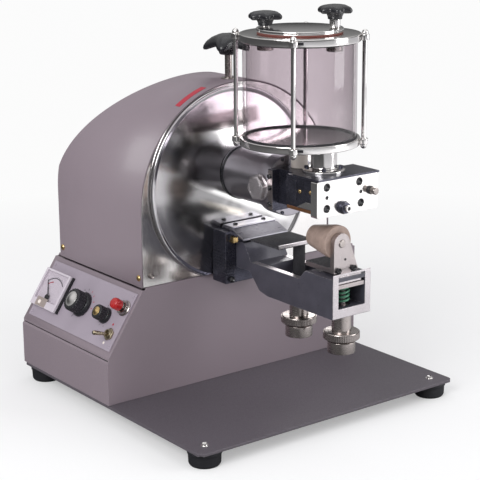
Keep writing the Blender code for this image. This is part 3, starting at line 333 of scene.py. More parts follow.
def rounded(points, radius, steps=4):
    """A closed outline with its corners rounded; corners on the turning axis stay."""
    out = []
    for i, (x, y) in enumerate(points):
        here = Vector((x, y))
        back = Vector(points[i - 1]) - here
        on = Vector(points[(i + 1) % len(points)]) - here
        reach = min(radius, 0.45 * back.length, 0.45 * on.length)
        if x == 0 or reach < 1e-6 or abs(back.normalized().cross(on.normalized())) < 0.02:
            out.append((x, y))
            continue
        start, end = here + back.normalized() * reach, here + on.normalized() * reach
        for k in range(steps + 1):
            t = k / steps
            spot = start * (1 - t) ** 2 + here * 2 * t * (1 - t) + end * t**2
            out.append((spot.x, spot.y))
    return out


def skin(bm, rings, steps):
    """Faces between neighbouring rings; a ring of one point is the tip of a fan."""
    for first, second in zip(rings, rings[1:]):
        if len(first) == 1 and len(second) == 1:
            continue
        for i in range(steps):
            j = (i + 1) % steps
            ring = [first[i % len(first)], first[j % len(first)]]
            ring += [second[j % len(second)], second[i % len(second)]]
            bm.faces.new(list(dict.fromkeys(ring)))


def lathe(profile, steps=FINE, soft=0.5):
    """A closed (radius, height) outline, its corners softened, spun about local Z."""
    bm = bmesh.new()
    rings = []
    for radius, height in rounded(profile, soft):
        turns = [2 * pi * i / steps for i in range(steps if radius else 1)]
        rings.append([bm.verts.new((radius * cos(a), radius * sin(a), height)) for a in turns])
    skin(bm, rings + rings[:1], steps)
    return bm


def rod(radius, low, high, steps=FINE, soft=0.5):
    return lathe([(0, low), (radius, low), (radius, high), (0, high)], steps, soft)


def pipe(radius, bore, low, high, steps=FINE, soft=0.5):
    return lathe([(bore, low), (radius, low), (radius, high), (bore, high)], steps, soft)


def slab(outline, low, high):
    """A flat outline raised along local Z."""
    bm = bmesh.new()
    face = bm.faces.new([bm.verts.new((x, y, low)) for x, y in outline])
    grown = bmesh.ops.extrude_face_region(bm, geom=[face])["geom"]
    upper = [item for item in grown if isinstance(item, bmesh.types.BMVert)]
    bmesh.ops.translate(bm, verts=upper, vec=(0, 0, high - low))
    return bm


def bar(low, high):
    """A box between two corners, to be softened by a bevel."""
    outline = [(low[0], low[1]), (high[0], low[1]), (high[0], high[1]), (low[0], high[1])]
    return slab(outline, low[2], high[2])


def circle(radius, steps):
    turns = [2 * pi * i / steps for i in range(steps)]
    return [(radius * cos(a), radius * sin(a)) for a in turns]


def lobes(radius, dip, count, sharp=1.0, steps=14):
    """A hand-knob outline with this many rounded lobes."""
    points = []
    for i in range(count * steps):
        angle = 2 * pi * i / (count * steps)
        wave = (0.5 - 0.5 * cos(count * angle)) ** sharp
        reach = radius - dip * wave
        points.append((reach * cos(angle), reach * sin(angle)))
    return points


def star(radius, dip, count, low, high, droop):
    """A rounded lobed hand grip whose lobes may hang below its middle."""
    tall = high - low
    outline = [(0, 0), (0.4, 0), (0.68, 0.04), (0.87, 0.14), (0.97, 0.32), (1, 0.52), (0.97, 0.74)]
    outline += [(0.87, 0.91), (0.7, 1), (0.4, 1), (0, 1)]
    edge = lobes(1.0, dip / radius, count, 0.85)
    bm = bmesh.new()
    rings = []
    for share, depth in outline:
        ring = []
        for x, y in edge if share else edge[:1]:
            reach = share * hypot(x, y)
            height = high - depth * tall - droop * reach * reach
            ring.append(bm.verts.new((share * radius * x, share * radius * y, height)))
        rings.append(ring)
    skin(bm, rings, len(edge))
    return bm


def mesh_of(name, bm):
    mesh = bpy.data.meshes.new(name)
    bm.to_mesh(mesh)
    bm.free()
    return mesh


def shown(name, data):
    made = bpy.data.objects.new(name, data)
    bpy.context.scene.collection.objects.link(made)
    return made


def moved(bm, place):
    bmesh.ops.transform(bm, matrix=place, verts=bm.verts)
    return bm


def joined(shapes):
    """Several shapes in one mesh."""
    whole = bmesh.new()
    for shape in shapes:
        mesh = mesh_of("part", shape)
        whole.from_mesh(mesh)
        bpy.data.meshes.remove(mesh)
    return whole


def piece(name, shape, surface, place=None, bevel=0.0, body="frame", stands_for=None,
          sharp=38):
    """Puts a shape, or a list of them as one, in the scene: smooth, bevelled, riding on its body."""
    bm = joined(shape) if isinstance(shape, list) else shape
    moved(bm, TO_METRES @ (place or Matrix()))
    bmesh.ops.recalc_face_normals(bm, faces=bm.faces)
    mesh = mesh_of(name, bm)
    mesh.shade_smooth()
    mesh.set_sharp_from_angle(angle=radians(sharp))
    mesh.materials.append(surface)
    made = shown(name, mesh)
    if bevel:
        soften(made, bevel)
    if body:
        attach(made, body)
    if stands_for:
        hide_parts(stands_for)
    return made


def soften(made, width):
    step = made.modifiers.new("Soft edges", "BEVEL")
    step.width = width * MM
    step.segments = 3
    step.limit_method = "ANGLE"
    step.angle_limit = radians(32)
    step.harden_normals = True


def cad_copy(node):
    """The CAD solid's shape with its flat faces whole again."""
    bm = bmesh.new()
    bm.from_mesh(NODES[node].data)
    bmesh.ops.remove_doubles(bm, verts=bm.verts, dist=1e-5)
    bmesh.ops.dissolve_limit(bm, angle_limit=radians(1), verts=bm.verts, edges=bm.edges)
    return moved(bm, TO_METRES.inverted())


def refined(node, surface, width, body="frame"):
    """The CAD solid with softened edges, in place of the plain one."""
    return piece(f"{node}_fine", cad_copy(node), surface, None, width, body, node)


def hole(target, shape, place):
    """Cuts a shape from a piece for good."""
    moved(shape, TO_METRES @ place)
    bmesh.ops.recalc_face_normals(shape, faces=shape.faces)
    cutter = shown("cutter", mesh_of("cutter", shape))
    step = target.modifiers.new("Hole", "BOOLEAN")
    step.operation = "DIFFERENCE"
    step.object = cutter
    target.modifiers.move(target.modifiers.find(step.name), 0)
    with bpy.context.temp_override(object=target, active_object=target):
        bpy.ops.object.modifier_apply(modifier=step.name)
    bpy.data.objects.remove(cutter)


def row(places, shape, *sizes):
    """The same shape made anew at each place."""
    return [moved(shape(*sizes), place) for place in places]


def bolt_circle(radius, count, first, height):
    """Places spaced evenly round local Z, the first at an angle in degrees."""
    turns = [radians(first + 360 / count * i) for i in range(count)]
    return [shift(radius * cos(a), radius * sin(a), height) for a in turns]


def cap_screw(radius, height):
    """A socket head, standing on local Z, with its hexagon recess."""
    body = slab(circle(radius, SMALL), 0, height)
    top = max(body.faces, key=lambda face: face.calc_center_median().z)
    bmesh.ops.inset_region(body, faces=[top], thickness=0.12 * radius)
    bmesh.ops.translate(body, verts=top.verts, vec=(0, 0, 0.10 * radius))
    bmesh.ops.inset_region(body, faces=[top], thickness=0.34 * radius)
    bmesh.ops.translate(body, verts=top.verts, vec=(0, 0, -0.5 * height))
    return body


def domed_screw(radius):
    """A round head with a low dome."""
    profile = [(0, -0.2 * radius), (radius, -0.2 * radius), (radius, 0.15 * radius)]
    profile += [(0.8 * radius, 0.45 * radius), (0.45 * radius, 0.62 * radius), (0, 0.66 * radius)]
    return lathe(profile, 28, 0.1 * radius)


# ---------------------------------------------------------------- base and console


def base():
    _, high, _ = box_of("base_plate")
    refined("base_plate", BASE_PAINT, 0.9)
    for corner in ("front_left", "front_right", "back_left", "back_right"):
        node = f"foot_{corner}"
        first, last, middle = box_of(node)
        radius, tall = (last.x - first.x) / 2, last.z
        profile = [(0, 1.2), (6, 1.2), (6, 0), (0.84 * radius, 0), (0.93 * radius, 3)]
        profile += [(0.95 * radius, tall - 5), (radius, tall - 4), (radius, tall), (0, tall)]
        piece(f"{node}_rubber", lathe(profile, 64, 0.8), RUBBER, shift(*middle.xy), stands_for=node)
        if middle.y < FACE_Y:
            washer = rod(5.4, -1, 0.5, SMALL, 0.3)
            screw = [cap_screw(3.4, 2.6), washer]
            piece(f"{node}_screw", screw, POLISHED, shift(*middle.xy, high.z))


def console():
    refined("console_shell", PAINT, 1.4)
    refined("control_panel", PANEL, 0.5)


def service_side():
    """Louvres, cord grommet and cover screws on the back of the console."""
    low, high, middle = box_of("console_shell")
    behind = shift(middle.x, high.y) @ spin(pi) @ Matrix.Rotation(pi / 2, 4, "X")
    places = [shift(x, 72 + 8 * i) for x in (-74, 74) for i in range(7)]
    outline = rounded([(-26, 0), (26, 0), (26, 3.4), (-26, 3.4)], 1.6, 4)
    piece("back_louvres", row(places, slab, outline, -1, 1.1), PAINT, behind, 0.7)
    # Painted shade: black strips under the louvres stand for their shaded openings.
    piece("back_louvre_shade_strips", row(places, bar, (-24, -0.9, -1), (24, 0.1, 0.25)), BLACK, behind)
    profile = [(0, -1), (9.5, -1), (9.5, 1.6), (6.5, 2.4), (5.5, 6.5), (3.6, 6.5), (3.6, 3), (0, 3)]
    spot = behind @ shift(-150, 52)
    piece("cord_grommet", lathe(profile, SMALL, 0.6), RUBBER, spot)
    bottom, top = low.z + 12, high.z - 12
    spots = [(low.x + 14, bottom), (middle.x, bottom), (high.x - 12, bottom)]
    spots += [(low.x + 80, top), (middle.x, top), (high.x - 12, top)]
    places = [behind @ shift(middle.x - x, z) for x, z in spots]
    piece("back_screws", row(places, domed_screw, 3.4), TURNED)


PANEL_TOP = 1.8  # the panel's face above the slope
PRINT_TOP = PANEL_TOP + 0.12


def tick_marks(count, first, step, near, far, half):
    """Printed lines round a control; first and step in degrees."""
    ticks = []
    for i in range(count):
        tick = bar((near, -half, PANEL_TOP - 0.2), (far, half, PRINT_TOP))
        ticks.append(moved(tick, spin(radians(first - step * i))))
    return ticks


def panel_print():
    """Scale marks round the two knobs, dots beside the toggle, and the panel's screws."""
    plane = slope_plane(joint_at("speed_knob_turn"))
    for name, surface, first, count in (("low", INK, 150, 7), ("high", RED_MARK, -18, 4)):
        ticks = tick_marks(count, first, 24, 20.5, 24, 0.4)
        piece(f"speed_scale_{name}", ticks, surface, plane)
    ticks = tick_marks(7, 200, 36, 13.8, 15.8, 0.3)
    at = slope_plane(joint_at("range_knob_turn"))
    piece("range_scale", ticks, INK, at)
    toggle_at = plane.inverted() @ joint_at("toggle_flip")
    for name, surface, radius, along, over in (("on", RED_MARK, 1.6, 14, 3), ("off", IVORY, 1.9, -13, 4)):
        dot = slab(circle(radius, 24), PANEL_TOP - 0.2, PRINT_TOP)
        spot = shift(toggle_at.x + along, toggle_at.y + over)
        piece(f"toggle_mark_{name}", dot, surface, plane @ spot)
    foot = plane.inverted() @ Vector((box_of("console_shell")[0].x, FACE_Y, 0))
    corner = shift(-55, foot.y)
    places = [shift(u, v, PANEL_TOP) for u in (18, 91.5) for v in (9.5, 212)]
    piece("panel_screws", row(places, domed_screw, 1.9), PANEL, plane @ corner)


def knob(name, radius, tall, cap_surface, cap_share):
    """A fluted instrument knob with a skirt, a bright cap and a pointer line."""
    plane = slope_plane(joint_at(f"{name}_turn"))
    low = PANEL_TOP + 0.35
    top = low + tall
    skirt = [(0, low), (radius, low), (radius, low + 0.14 * tall), (0.9 * radius, low + 0.3 * tall)]
    skirt = lathe(skirt + [(0, low + 0.34 * tall)], 72, 0.6)
    grip = slab(lobes(0.89 * radius, 0.08 * radius, 22, 1.0, 6), low + 0.24 * tall, top - 0.6)
    crown = [(0, top - 3), (0.82 * radius, top - 3), (0.82 * radius, top - 0.3), (0.7 * radius, top)]
    crown = lathe(crown + [(0, top)], 64, 0.5)
    piece(f"{name}_body", [skirt, grip, crown], BLACK, plane, 0.25, body=name, stands_for=name)
    reach = cap_share * radius
    profile = [(0, top - 0.5), (reach, top - 0.5)]
    for i in range(9):
        rise = 2 * sin(i / 8 * pi / 2) ** 2
        profile.append((reach * (1 - i / 8), top + 0.5 + rise))
    cap = lathe(profile, 48, 0.15)
    piece(f"{name}_cap", cap, cap_surface, plane, body=name)
    line = bar((0.88 * radius, -0.5, low + 0.2 * tall), (0.97 * radius, 0.5, low + 0.33 * tall))
    piece(f"{name}_pointer", line, METER_WHITE, plane, body=name)


def hexagon(across, low, high):
    """A nut's hexagon with its corners turned off at the top."""
    bm = slab(circle(across / sqrt(3), 6), low, high)
    top = max(bm.faces, key=lambda face: face.calc_center_median().z)
    bmesh.ops.inset_region(bm, faces=[top], thickness=0.07 * across)
    bmesh.ops.translate(bm, verts=top.verts, vec=(0, 0, 0.04 * across))
    return bm


def start_button():
    _, _, middle = box_of("start_button")
    off = SLOPE_NORMAL.dot(middle - joint_at("speed_knob_turn"))
    plane = slope_plane(middle - SLOPE_NORMAL * off)
    cap = [(0, 10), (5.8, 10), (5.8, 11.5), (7.8, 12), (7.8, 20), (7, 23), (4.5, 24.3), (0, 24.5)]
    piece("start_button_cap", lathe(cap, 64, 0.8), RED, plane, body="start_button",
          stands_for="start_button")
    piece("start_button_stem", rod(5.6, -6, 11, SMALL), TURNED, plane, body="start_button")
    ring = [(6.2, 0), (11, 0), (11, 1.4), (9.6, 2.2), (9.2, 6.2), (6.2, 6.2)]
    piece("start_button_collar", lathe(ring, 56, 0.4), TURNED, plane @ shift(0, 0, PANEL_TOP))


def toggle():
    pivot = joint_at("toggle_flip")
    rise = SLOPE_NORMAL.dot(pivot - joint_at("speed_knob_turn"))
    plane = slope_plane(pivot - SLOPE_NORMAL * rise)
    low = PANEL_TOP + 0.3
    nut = hexagon(15.2, low, low + 2.2)
    profile = [(4.4, low), (5.9, low)]
    for i in range(4):
        base_at = low + 1 + i
        profile += [(5.9, base_at), (5.4, base_at + 0.5)]
    profile += [(5.9, low + 5.3), (4.4, low + 5.3)]
    bush = lathe(profile, SMALL, 0.1)
    can = bar((-6.5, -6.5, -16), (6.5, 6.5, -1))
    piece("toggle_body_nut", [nut, bush, can], PLATED, plane, 0.2, stands_for="toggle_body")
    lean = Matrix.Rotation(-radians(17), 4, "Y")
    reach = 26
    bat = [(0, -3), (1.6, -3), (2, 4), (2.5, 0.5 * reach)]
    bat += [(3.1, reach - 4), (3, reach - 1.2), (2, reach), (0, reach)]
    lever = lathe(bat, 32, 0.6)
    piece("toggle_lever_bat", lever, PLATED, slope_plane(pivot) @ lean, body="toggle_lever",
          stands_for="toggle_lever")


def arc_strip(radius, width, start, end, low, high, steps=48):
    """A thin raised band that follows an arc, in degrees from straight up the slope."""
    outline = []
    for reach, order in ((radius, 1), (radius + width, -1)):
        turns = [radians(start + (end - start) * i / steps) for i in range(steps + 1)][::order]
        outline += [(reach * cos(a), reach * sin(a)) for a in turns]
    return slab(outline, low, high)


def meter():
    """Case with its dial recess, white card with a printed arc, clear front and zero screw."""
    refined("meter_case", METER_WHITE, 0.5)
    pivot = slope_plane(joint_at("needle_swing"))
    top = 10.1
    card = top - 4
    piece("meter_card", bar((-5.4, -27.5, card - 0.1), (36, 27.5, card + 0.25)), METER_WHITE, pivot)
    level = (card + 0.2, card + 0.36)
    ink = [arc_strip(28.6, 1.3, -42, 42, *level)]
    for i in range(21):
        angle = radians(-42 + 84 * i / 20)
        reach = 32.8 if i % 5 == 0 else 31.2
        tick = bar((29, -0.22, level[0]), (reach, 0.22, level[1]))
        ink.append(moved(tick, spin(angle)))
    piece("meter_scale", ink, INK, pivot)
    piece("meter_red_zone", arc_strip(23, 1.5, 14, 42, *level), RED_MARK, pivot)
    # Painted shadow: a black strip along the case's right side, where a thin shadow gap shows.
    piece("meter_shadow_strip", bar((-16.4, -33, PANEL_TOP), (39.4, -31.4, top - 3.4)), BLACK, pivot, 0.3)
    hub = lathe([(0, top - 1.2), (4, top - 1.2), (4, top + 0.4), (0, top + 0.6)], SMALL, 0.3)
    piece("meter_pivot_cap", hub, BLACK, pivot)
    piece("meter_pane", bar((-5.8, -27.9, top - 0.7), (36.3, 27.9, top - 0.2)), PANE, pivot)
    piece("meter_lower_block", bar((-16, -7, top - 1), (-3, 19, top + 0.5)), SHADE, pivot, 0.4)
    zero = moved(domed_screw(3.2), shift(-10, 9, top + 0.5))
    piece("meter_zero_screw", zero, IVORY, pivot)


# ---------------------------------------------------------------- hood and cover

HOOD_KNEE_Z = 305.6  # where the hood's back leaves the upright
HOOD_CREST_DEPTH = 93.7  # the hood's depth at its crest
HOOD_BULGE = 12.7  # how far its back bows out between the two


def hood_back(z, depth, crest_z):
    """How far behind the face the hood's back lies at this height."""
    if z <= HOOD_KNEE_Z:
        return depth
    chord = Vector((HOOD_CREST_DEPTH - depth, crest_z - HOOD_KNEE_Z))
    share = (z - HOOD_KNEE_Z) / chord.y
    bulge = 4 * HOOD_BULGE * share * (1 - share) / cos(atan2(-chord.x, chord.y))
    return depth + chord.x * share + bulge


def hood():
    """The arched sheet: two sides meeting over the crest, and a back folded round behind."""
    low, high, middle = box_of("hood_shell")
    radius, depth = (high.x - low.x) / 2, high.y - low.y
    centre_z = high.z - radius
    steps = 64
    levels = [(radius, low.z), (radius, 0.5 * (low.z + centre_z))]
    turns = [pi / 2 * i / steps for i in range(steps + 1)]
    levels += [(radius * cos(a), centre_z + radius * sin(a)) for a in turns]
    bm = bmesh.new()
    rows = []
    for half, z in levels:
        back = FACE_Y + hood_back(z, depth, high.z)
        if half < 1e-6:
            tip = [bm.verts.new((middle.x, y, z)) for y in (FACE_Y, back)]
            rows.append([tip[0], tip[0], tip[1], tip[1]])
            continue
        spots = [(-half, FACE_Y), (half, FACE_Y), (half, back), (-half, back)]
        rows.append([bm.verts.new((middle.x + x, y, z)) for x, y in spots])
    for lower, upper in zip(rows, rows[1:]):
        for a, b in ((1, 2), (2, 3), (3, 0)):
            bm.faces.new(list(dict.fromkeys([lower[a], lower[b], upper[b], upper[a]])))
    shell = piece("hood_sheet", bm, PAINT, stands_for="hood_shell")
    soften(shell, 2.2)
    thick = shell.modifiers.new("Sheet", "SOLIDIFY")
    thick.thickness = 2 * MM
    thick.offset = -1
    spots = ((FACE_Y + 7, low.z + 12.5), (FACE_Y + depth - 8, low.z + 14))
    places = [left_plane(low.x, *spot) for spot in spots]
    places += [left_plane(high.x, *spot) @ Matrix.Rotation(pi, 4, "X") for spot in spots]
    piece("hood_screws", row(places, domed_screw, 4.2), BRASS)
    band = arc_strip(radius - 0.3, 0.8, 107, 124, -18, -8, 24)
    piece("hood_red_strip", band, RED_MARK, ahead_plane(middle.x, centre_z))
    return radius, centre_z


def front_plate():
    refined("front_plate", POLISHED, 0.4)
    low, _, middle = box_of("front_plate")
    places = [ahead_plane(middle.x + x, low.z + 14, -0.4) for x in (-146, 146)]
    piece("front_plate_screws", row(places, cap_screw, 3.6, 2.4), TURNED)


def dish():
    """A shallow spun dome with a rolled rim, its foot cut flat over the console."""
    low, high, middle = box_of("cover_dish")
    radius = (high.x - low.x) / 2
    centre = Vector((middle.x, FACE_Y, high.z - radius))
    dome = []
    for i in range(13):
        reach = radius - 7 - (radius - 7) * i / 12
        dome.append((reach, 2.2 + 7.5 * (1 - (reach / radius) ** 2)))
    profile = [(0, 0.4), (radius - 0.5, 0.4), (radius, 1.5), (radius, 4.2)]
    profile += [(radius - 1.6, 5.4), (radius - 4, 4.6), *dome]
    bm = lathe(profile, 160, 0.7)
    moved(bm, ahead_plane(centre.x, centre.z))
    everything = list(bm.verts) + list(bm.edges) + list(bm.faces)
    sliced = bmesh.ops.bisect_plane(bm, geom=everything, plane_co=(0, 0, low.z), plane_no=(0, 0, -1),
                                    clear_outer=True)
    rim = [item for item in sliced["geom_cut"] if isinstance(item, bmesh.types.BMEdge)]
    bmesh.ops.holes_fill(bm, edges=rim)
    piece("dish_spun", bm, dish_steel_painted_light(centre * MM), stands_for="cover_dish")


def hood_clamp(radius, centre_z):
    """The lobed knob over the hood, its stem and the washer it passes through."""
    low, high, _ = box_of("hood_knob")
    at = shift(*joint_at("hood_knob_turn")[:2])
    crown = high.z - 15
    grip = star(34, 11, 5, crown, high.z - 0.5, 12)
    hub = lathe([(0, low.z), (11.5, low.z), (13, low.z + 3), (14, crown + 5), (0, crown + 5)], 56, 1)
    piece("hood_knob_grip", [grip, hub], BLACK, at, body="hood_clamp", stands_for="hood_knob",
          sharp=50)
    first, last, _ = box_of("hood_stem")
    stem = rod(5, first.z, last.z, SMALL)
    piece("hood_stem_rod", stem, TURNED, at, body="hood_clamp", stands_for="hood_stem")
    top = centre_z + radius
    washer = pipe(10, 5.5, top - 1, top + 1.2, 48, 0.4)
    piece("hood_washer", washer, TURNED, at)


# ---------------------------------------------------------------- spindle and pump


def spindle():
    low, _, _ = box_of("spindle_housing")
    nose = FACE_Y - low.y
    flange, tube_radius = 41, 35.5
    bore, back = 17, -11
    profile = [(bore, nose - 1), (bore, back), (tube_radius, back), (tube_radius, 6)]
    profile += [(tube_radius + 2.5, 6), (tube_radius + 2.5, 9), (tube_radius, 9.5)]
    profile += [(tube_radius, nose - 22), (flange, nose - 22), (flange, nose), (bore + 8, nose)]
    at = ahead_plane(SPINDLE.x, SPINDLE.z)
    piece("spindle_tube", lathe(profile, 128, 1), TUBE, at, stands_for="spindle_housing")
    # The first black ring, where the tube leaves the dish, is painted shade for the shadow gap there; the
    # second sits just behind the flange.
    levels = ((9.2, 12.5), (nose - 24.5, nose - 22.2))
    rings = [pipe(tube_radius + 1.4, bore, near, far, FINE, 0.4) for near, far in levels]
    piece("spindle_rings", rings, BLACK, at)
    places = bolt_circle(38, 8, 22.5, nose - 0.3)
    piece("flange_screws", row(places, cap_screw, 2.2, 1.6), DARK, at)
    oil_plug()


def oil_plug():
    low, _, middle = box_of("oil_plug")
    tall = SPINDLE.x - low.x
    at = left_plane(SPINDLE.x, middle.y, middle.z)
    seat = [(0, 30), (17, 30), (17, tall - 8), (15.5, tall - 7), (0, tall - 7)]
    ring = [(10.5, tall - 1.2), (12, tall - 1.2), (12, tall + 0.2), (10.5, tall + 0.2)]
    nut = moved(hexagon(29, tall - 8, tall - 1.2), spin(radians(12)))
    middle_cap = lathe([(0, tall - 1), (6, tall - 1), (5, tall), (0, tall)], 32, 0.3)
    shapes = [nut, lathe(ring, 48, 0.3), middle_cap]
    piece("oil_plug_hex", shapes, BRIGHT_RIM, at, 0.4, stands_for="oil_plug")
    piece("oil_plug_seat", lathe(seat, 64, 0.5), BRIGHT_RIM, at)


def head():
    refined("head_bracket", DARK, 0.8)
    refined("pump_body", DARK, 0.6)
    refined("pump_top_plate", DARK, 0.5)
    low, high, _ = box_of("head_bracket")
    levels = (low.z + 9, low.z + 30, high.z - 9)
    places = [left_plane(low.x, FACE_Y - 116.8, z) for z in levels]
    piece("bracket_screws", row(places, cap_screw, 3.2, 3), BLACK)
    cheek = bar((low.x - 0.5, FACE_Y - 121, low.z + 1), (low.x + 1, FACE_Y - 112.6, high.z - 1))
    piece("bracket_edge", cheek, SATIN, bevel=0.3)


def pump_cover():
    """Polished slab with four counterbored screws, two dowel pits darkened by black pins as painted
    shade, a stepped stub and a peg.
    """
    low, high, _ = box_of("pump_cover")
    front = 215
    corners = [(low.x, low.z), (high.x, low.z), (high.x, high.z), (low.x, high.z)]
    plate = slab(rounded(corners, 3.5, 6), FACE_Y - high.y, front)
    block = piece("pump_cover_slab", plate, POLISHED, ahead_plane(0, 0), 0.9, stands_for="pump_cover")
    screws = [(-24, 330), (-24, 303), (29, 330.5), (32, 303)]
    dowels = [(-24, 317), (31.8, 317.2)]
    for x, z in screws:
        sink = slab(circle(5.2, SMALL), -5, 5)
        hole(block, sink, ahead_plane(MIDDLE + x, z, front))
    for x, z in dowels:
        pit = slab(circle(2.4, 28), -3, 3)
        hole(block, pit, ahead_plane(MIDDLE + x, z, front))
    heads = [moved(cap_screw(4.8, 4), ahead_plane(MIDDLE + x, z, front - 5)) for x, z in screws]
    # Painted shade: black pins sunk in the two dowel pits darken them.
    for x, z in dowels:
        pin = slab(circle(2.2, 24), 0, 2.2)
        heads.append(moved(pin, ahead_plane(MIDDLE + x, z, front - 3.2)))
    piece("pump_cover_screws", heads, BLACK, bevel=0.2)
    collar = lathe([(0, -1), (8.2, -1), (8.2, 3), (7, 4), (7, 7), (0, 7)], SMALL, 0.4)
    at = ahead_plane(MIDDLE + 2, 301.5, front)
    piece("pump_stub_collar", collar, DARK, at)
    tip = [(0, 6), (4.4, 6), (4.4, 12), (2.4, 12), (2.4, 8), (0, 8)]
    piece("pump_stub_tip", lathe(tip, SMALL, 0.3), POLISHED, at)
    # Painted shade: a black plug deep in the stub's bore darkens it.
    piece("pump_stub_bore_shade", rod(2.35, 7, 11.2, 28, 0.2), BLACK, at)
    at = ahead_plane(MIDDLE + 48, 317, front)
    piece("pump_peg_ring", rod(5.6, -1, 2.5, SMALL, 0.4), BLACK, at)
    peg = [(0, 0), (4.7, 0), (4.7, 10), (4, 11), (0, 11)]
    piece("pump_peg", lathe(peg, SMALL, 0.4), TURNED, at)


def pump_side():
    """On the pump's left side: two brass screws, a copper strip, a bright wedge and a cover."""
    low, _, _ = box_of("pump_body")
    places = [left_plane(low.x, FACE_Y - y, z) for y, z in ((176, 320), (197, 322))]
    piece("pump_side_screws", row(places, domed_screw, 2.8), BRASS)
    strip = bar((low.x - 1.4, FACE_Y - 202, 295), (low.x + 1, FACE_Y - 152, 299))
    piece("pump_copper_strip", strip, COPPER, bevel=0.5)
    wedge = slab([(-172, 300), (-202, 300), (-202, 309), (-190, 309)], 0, 3)
    turn = Matrix(((0, 0, -1), (1, 0, 0), (0, 1, 0))).to_4x4()
    at = shift(low.x + 0.5, FACE_Y) @ turn
    piece("pump_side_wedge", wedge, POLISHED, at, 0.5)
    cover = bar((low.x - 1.2, FACE_Y - 170, 303), (low.x + 1, FACE_Y - 154, 333))
    piece("pump_side_cover", cover, DARK, bevel=0.6)


def nozzle():
    low, high, middle = box_of("nozzle")
    profile = [(2.5, low.z), (4, low.z), (5.5, low.z + 3), (5.5, high.z - 3)]
    profile += [(8, high.z - 2.6), (8, high.z), (2.5, high.z)]
    piece("nozzle_tip", lathe(profile, SMALL, 0.3), POLISHED, shift(*middle.xy),
          stands_for="nozzle")


# ---------------------------------------------------------------- hopper

TIE_RODS = ("front_left", "front_right", "back_left", "back_right")


def hopper():
    low, high, middle = box_of("hopper_base")
    top_low, top_high, _ = box_of("hopper_top")
    axis = shift(*middle.xy)
    top_plate = top_low.z + 13
    rings = (("hopper_base", 0, low.z, high.z), ("hopper_top", 34, top_plate, top_high.z))
    spots = [box_of(f"tie_rod_{name}")[2] for name in TIE_RODS]
    for name, bore, bottom, top in rings:
        shapes = [pipe(77, bore, bottom, top, 160, 1.3)]
        for spot in spots:
            lug = rod(5.6, bottom + 1, top - 1, SMALL, 0.8)
            shapes.append(moved(lug, shift(spot.x - middle.x, spot.y - middle.y)))
        piece(f"{name}_ring", shapes, POLISHED, axis, stands_for=name)
    bosses = []
    for side in ("left", "right"):
        spot = joint_at(f"lid_knob_{side}_turn")
        profile = [(4.4, top_low.z), (10.5, top_low.z), (10.5, top_high.z - 9), (4.4, top_high.z - 9)]
        bosses.append(moved(lathe(profile, 48, 0.8), shift(*spot.xy)))
    piece("hopper_bosses", bosses, TURNED)
    # Painted shade: flat black patches on the rings stand for the shaded insides of slots.
    slots = []
    for spot in spots[:2]:
        for z in (0.5 * (low.z + high.z), 0.5 * (top_plate + top_high.z)):
            angle = atan2(spot.y - middle.y, spot.x - middle.x) + radians(4.5)
            notch = bar((75.4, -6, z - 1.8), (77.3, 6, z + 1.8))
            slots.append(moved(notch, axis @ spin(angle)))
    piece("hopper_ring_slot_shade", slots, BLACK, bevel=0.4)
    first, last, _ = box_of("hopper_cylinder")
    wall = pipe(72.5, 68, first.z, last.z, 160, 0.6)
    piece("hopper_glass", wall, CLEAR, axis, stands_for="hopper_cylinder")
    seals = [pipe(73.2, 67.4, z - 1.1, z + 1.1, FINE, 0.8) for z in (first.z, last.z)]
    piece("hopper_seals", seals, RUBBER, axis)
    tie_rods(spots, low.z, top_high.z)


def tie_rods(spots, bottom, top):
    """Four rods down the outside of the wall, an acorn nut on each end."""
    for name, spot in zip(TIE_RODS, spots):
        shapes = [rod(3, bottom - 1, top + 1, 32, 0.2)]
        for start, sense in ((top - 1, 1), (bottom + 1, -1)):
            dome = [(0, 0), (4.3, 0), (4.3, 2.4), (3.3, 4.6), (1.6, 5.8), (0, 6.2)]
            turn = shift(0, 0, start) @ Matrix.Diagonal((1, 1, sense, 1))
            shapes.append(moved(lathe(dome, 32, 0.7), turn))
        piece(f"tie_rod_{name}_bar", shapes, POLISHED, shift(*spot.xy),
              stands_for=f"tie_rod_{name}")


def lid():
    low, high, middle = box_of("hopper_lid")
    seal_low, seal_high, _ = box_of("lid_gasket")
    axis = shift(*middle.xy)
    disc = rod(55, low.z, high.z, 144, 1.2)
    piece("lid_plate", disc, POLISHED, axis, body="lid", stands_for="hopper_lid")
    seal = pipe(54.2, 34, seal_low.z - 0.2, seal_high.z + 0.2, 128, 0.6)
    piece("lid_seal", seal, GASKET, axis, body="lid", stands_for="lid_gasket")
    for side in ("left", "right"):
        lid_knob(side, high.z)


def lid_knob(side, lid_top):
    """A six-lobed black knob on its screw, with a bright spacer under it."""
    node = f"lid_knob_{side}"
    low, high, _ = box_of(node)
    spot = joint_at(f"{node}_turn")
    reach = 23
    crown = high.z - 10
    hub_low = high.z - 18.5
    grip = star(reach, 6, 6, crown, high.z, 2.5)
    hub = [(0, hub_low), (9, hub_low), (9.2, hub_low + 3), (13, crown + 3), (0, crown + 3)]
    shapes = [grip, lathe(hub, 56, 0.8)]
    at = shift(*spot.xy)
    piece(f"{node}_grip", shapes, BLACK, at, body=node, stands_for=node, sharp=50)
    base_z = lid_top + 0.4
    spacer = [(0, low.z), (4, low.z), (4, base_z), (6.8, base_z), (6.8, hub_low + 1), (0, hub_low + 1)]
    piece(f"{node}_spacer", lathe(spacer, 48, 0.5), POLISHED, at, body=node)


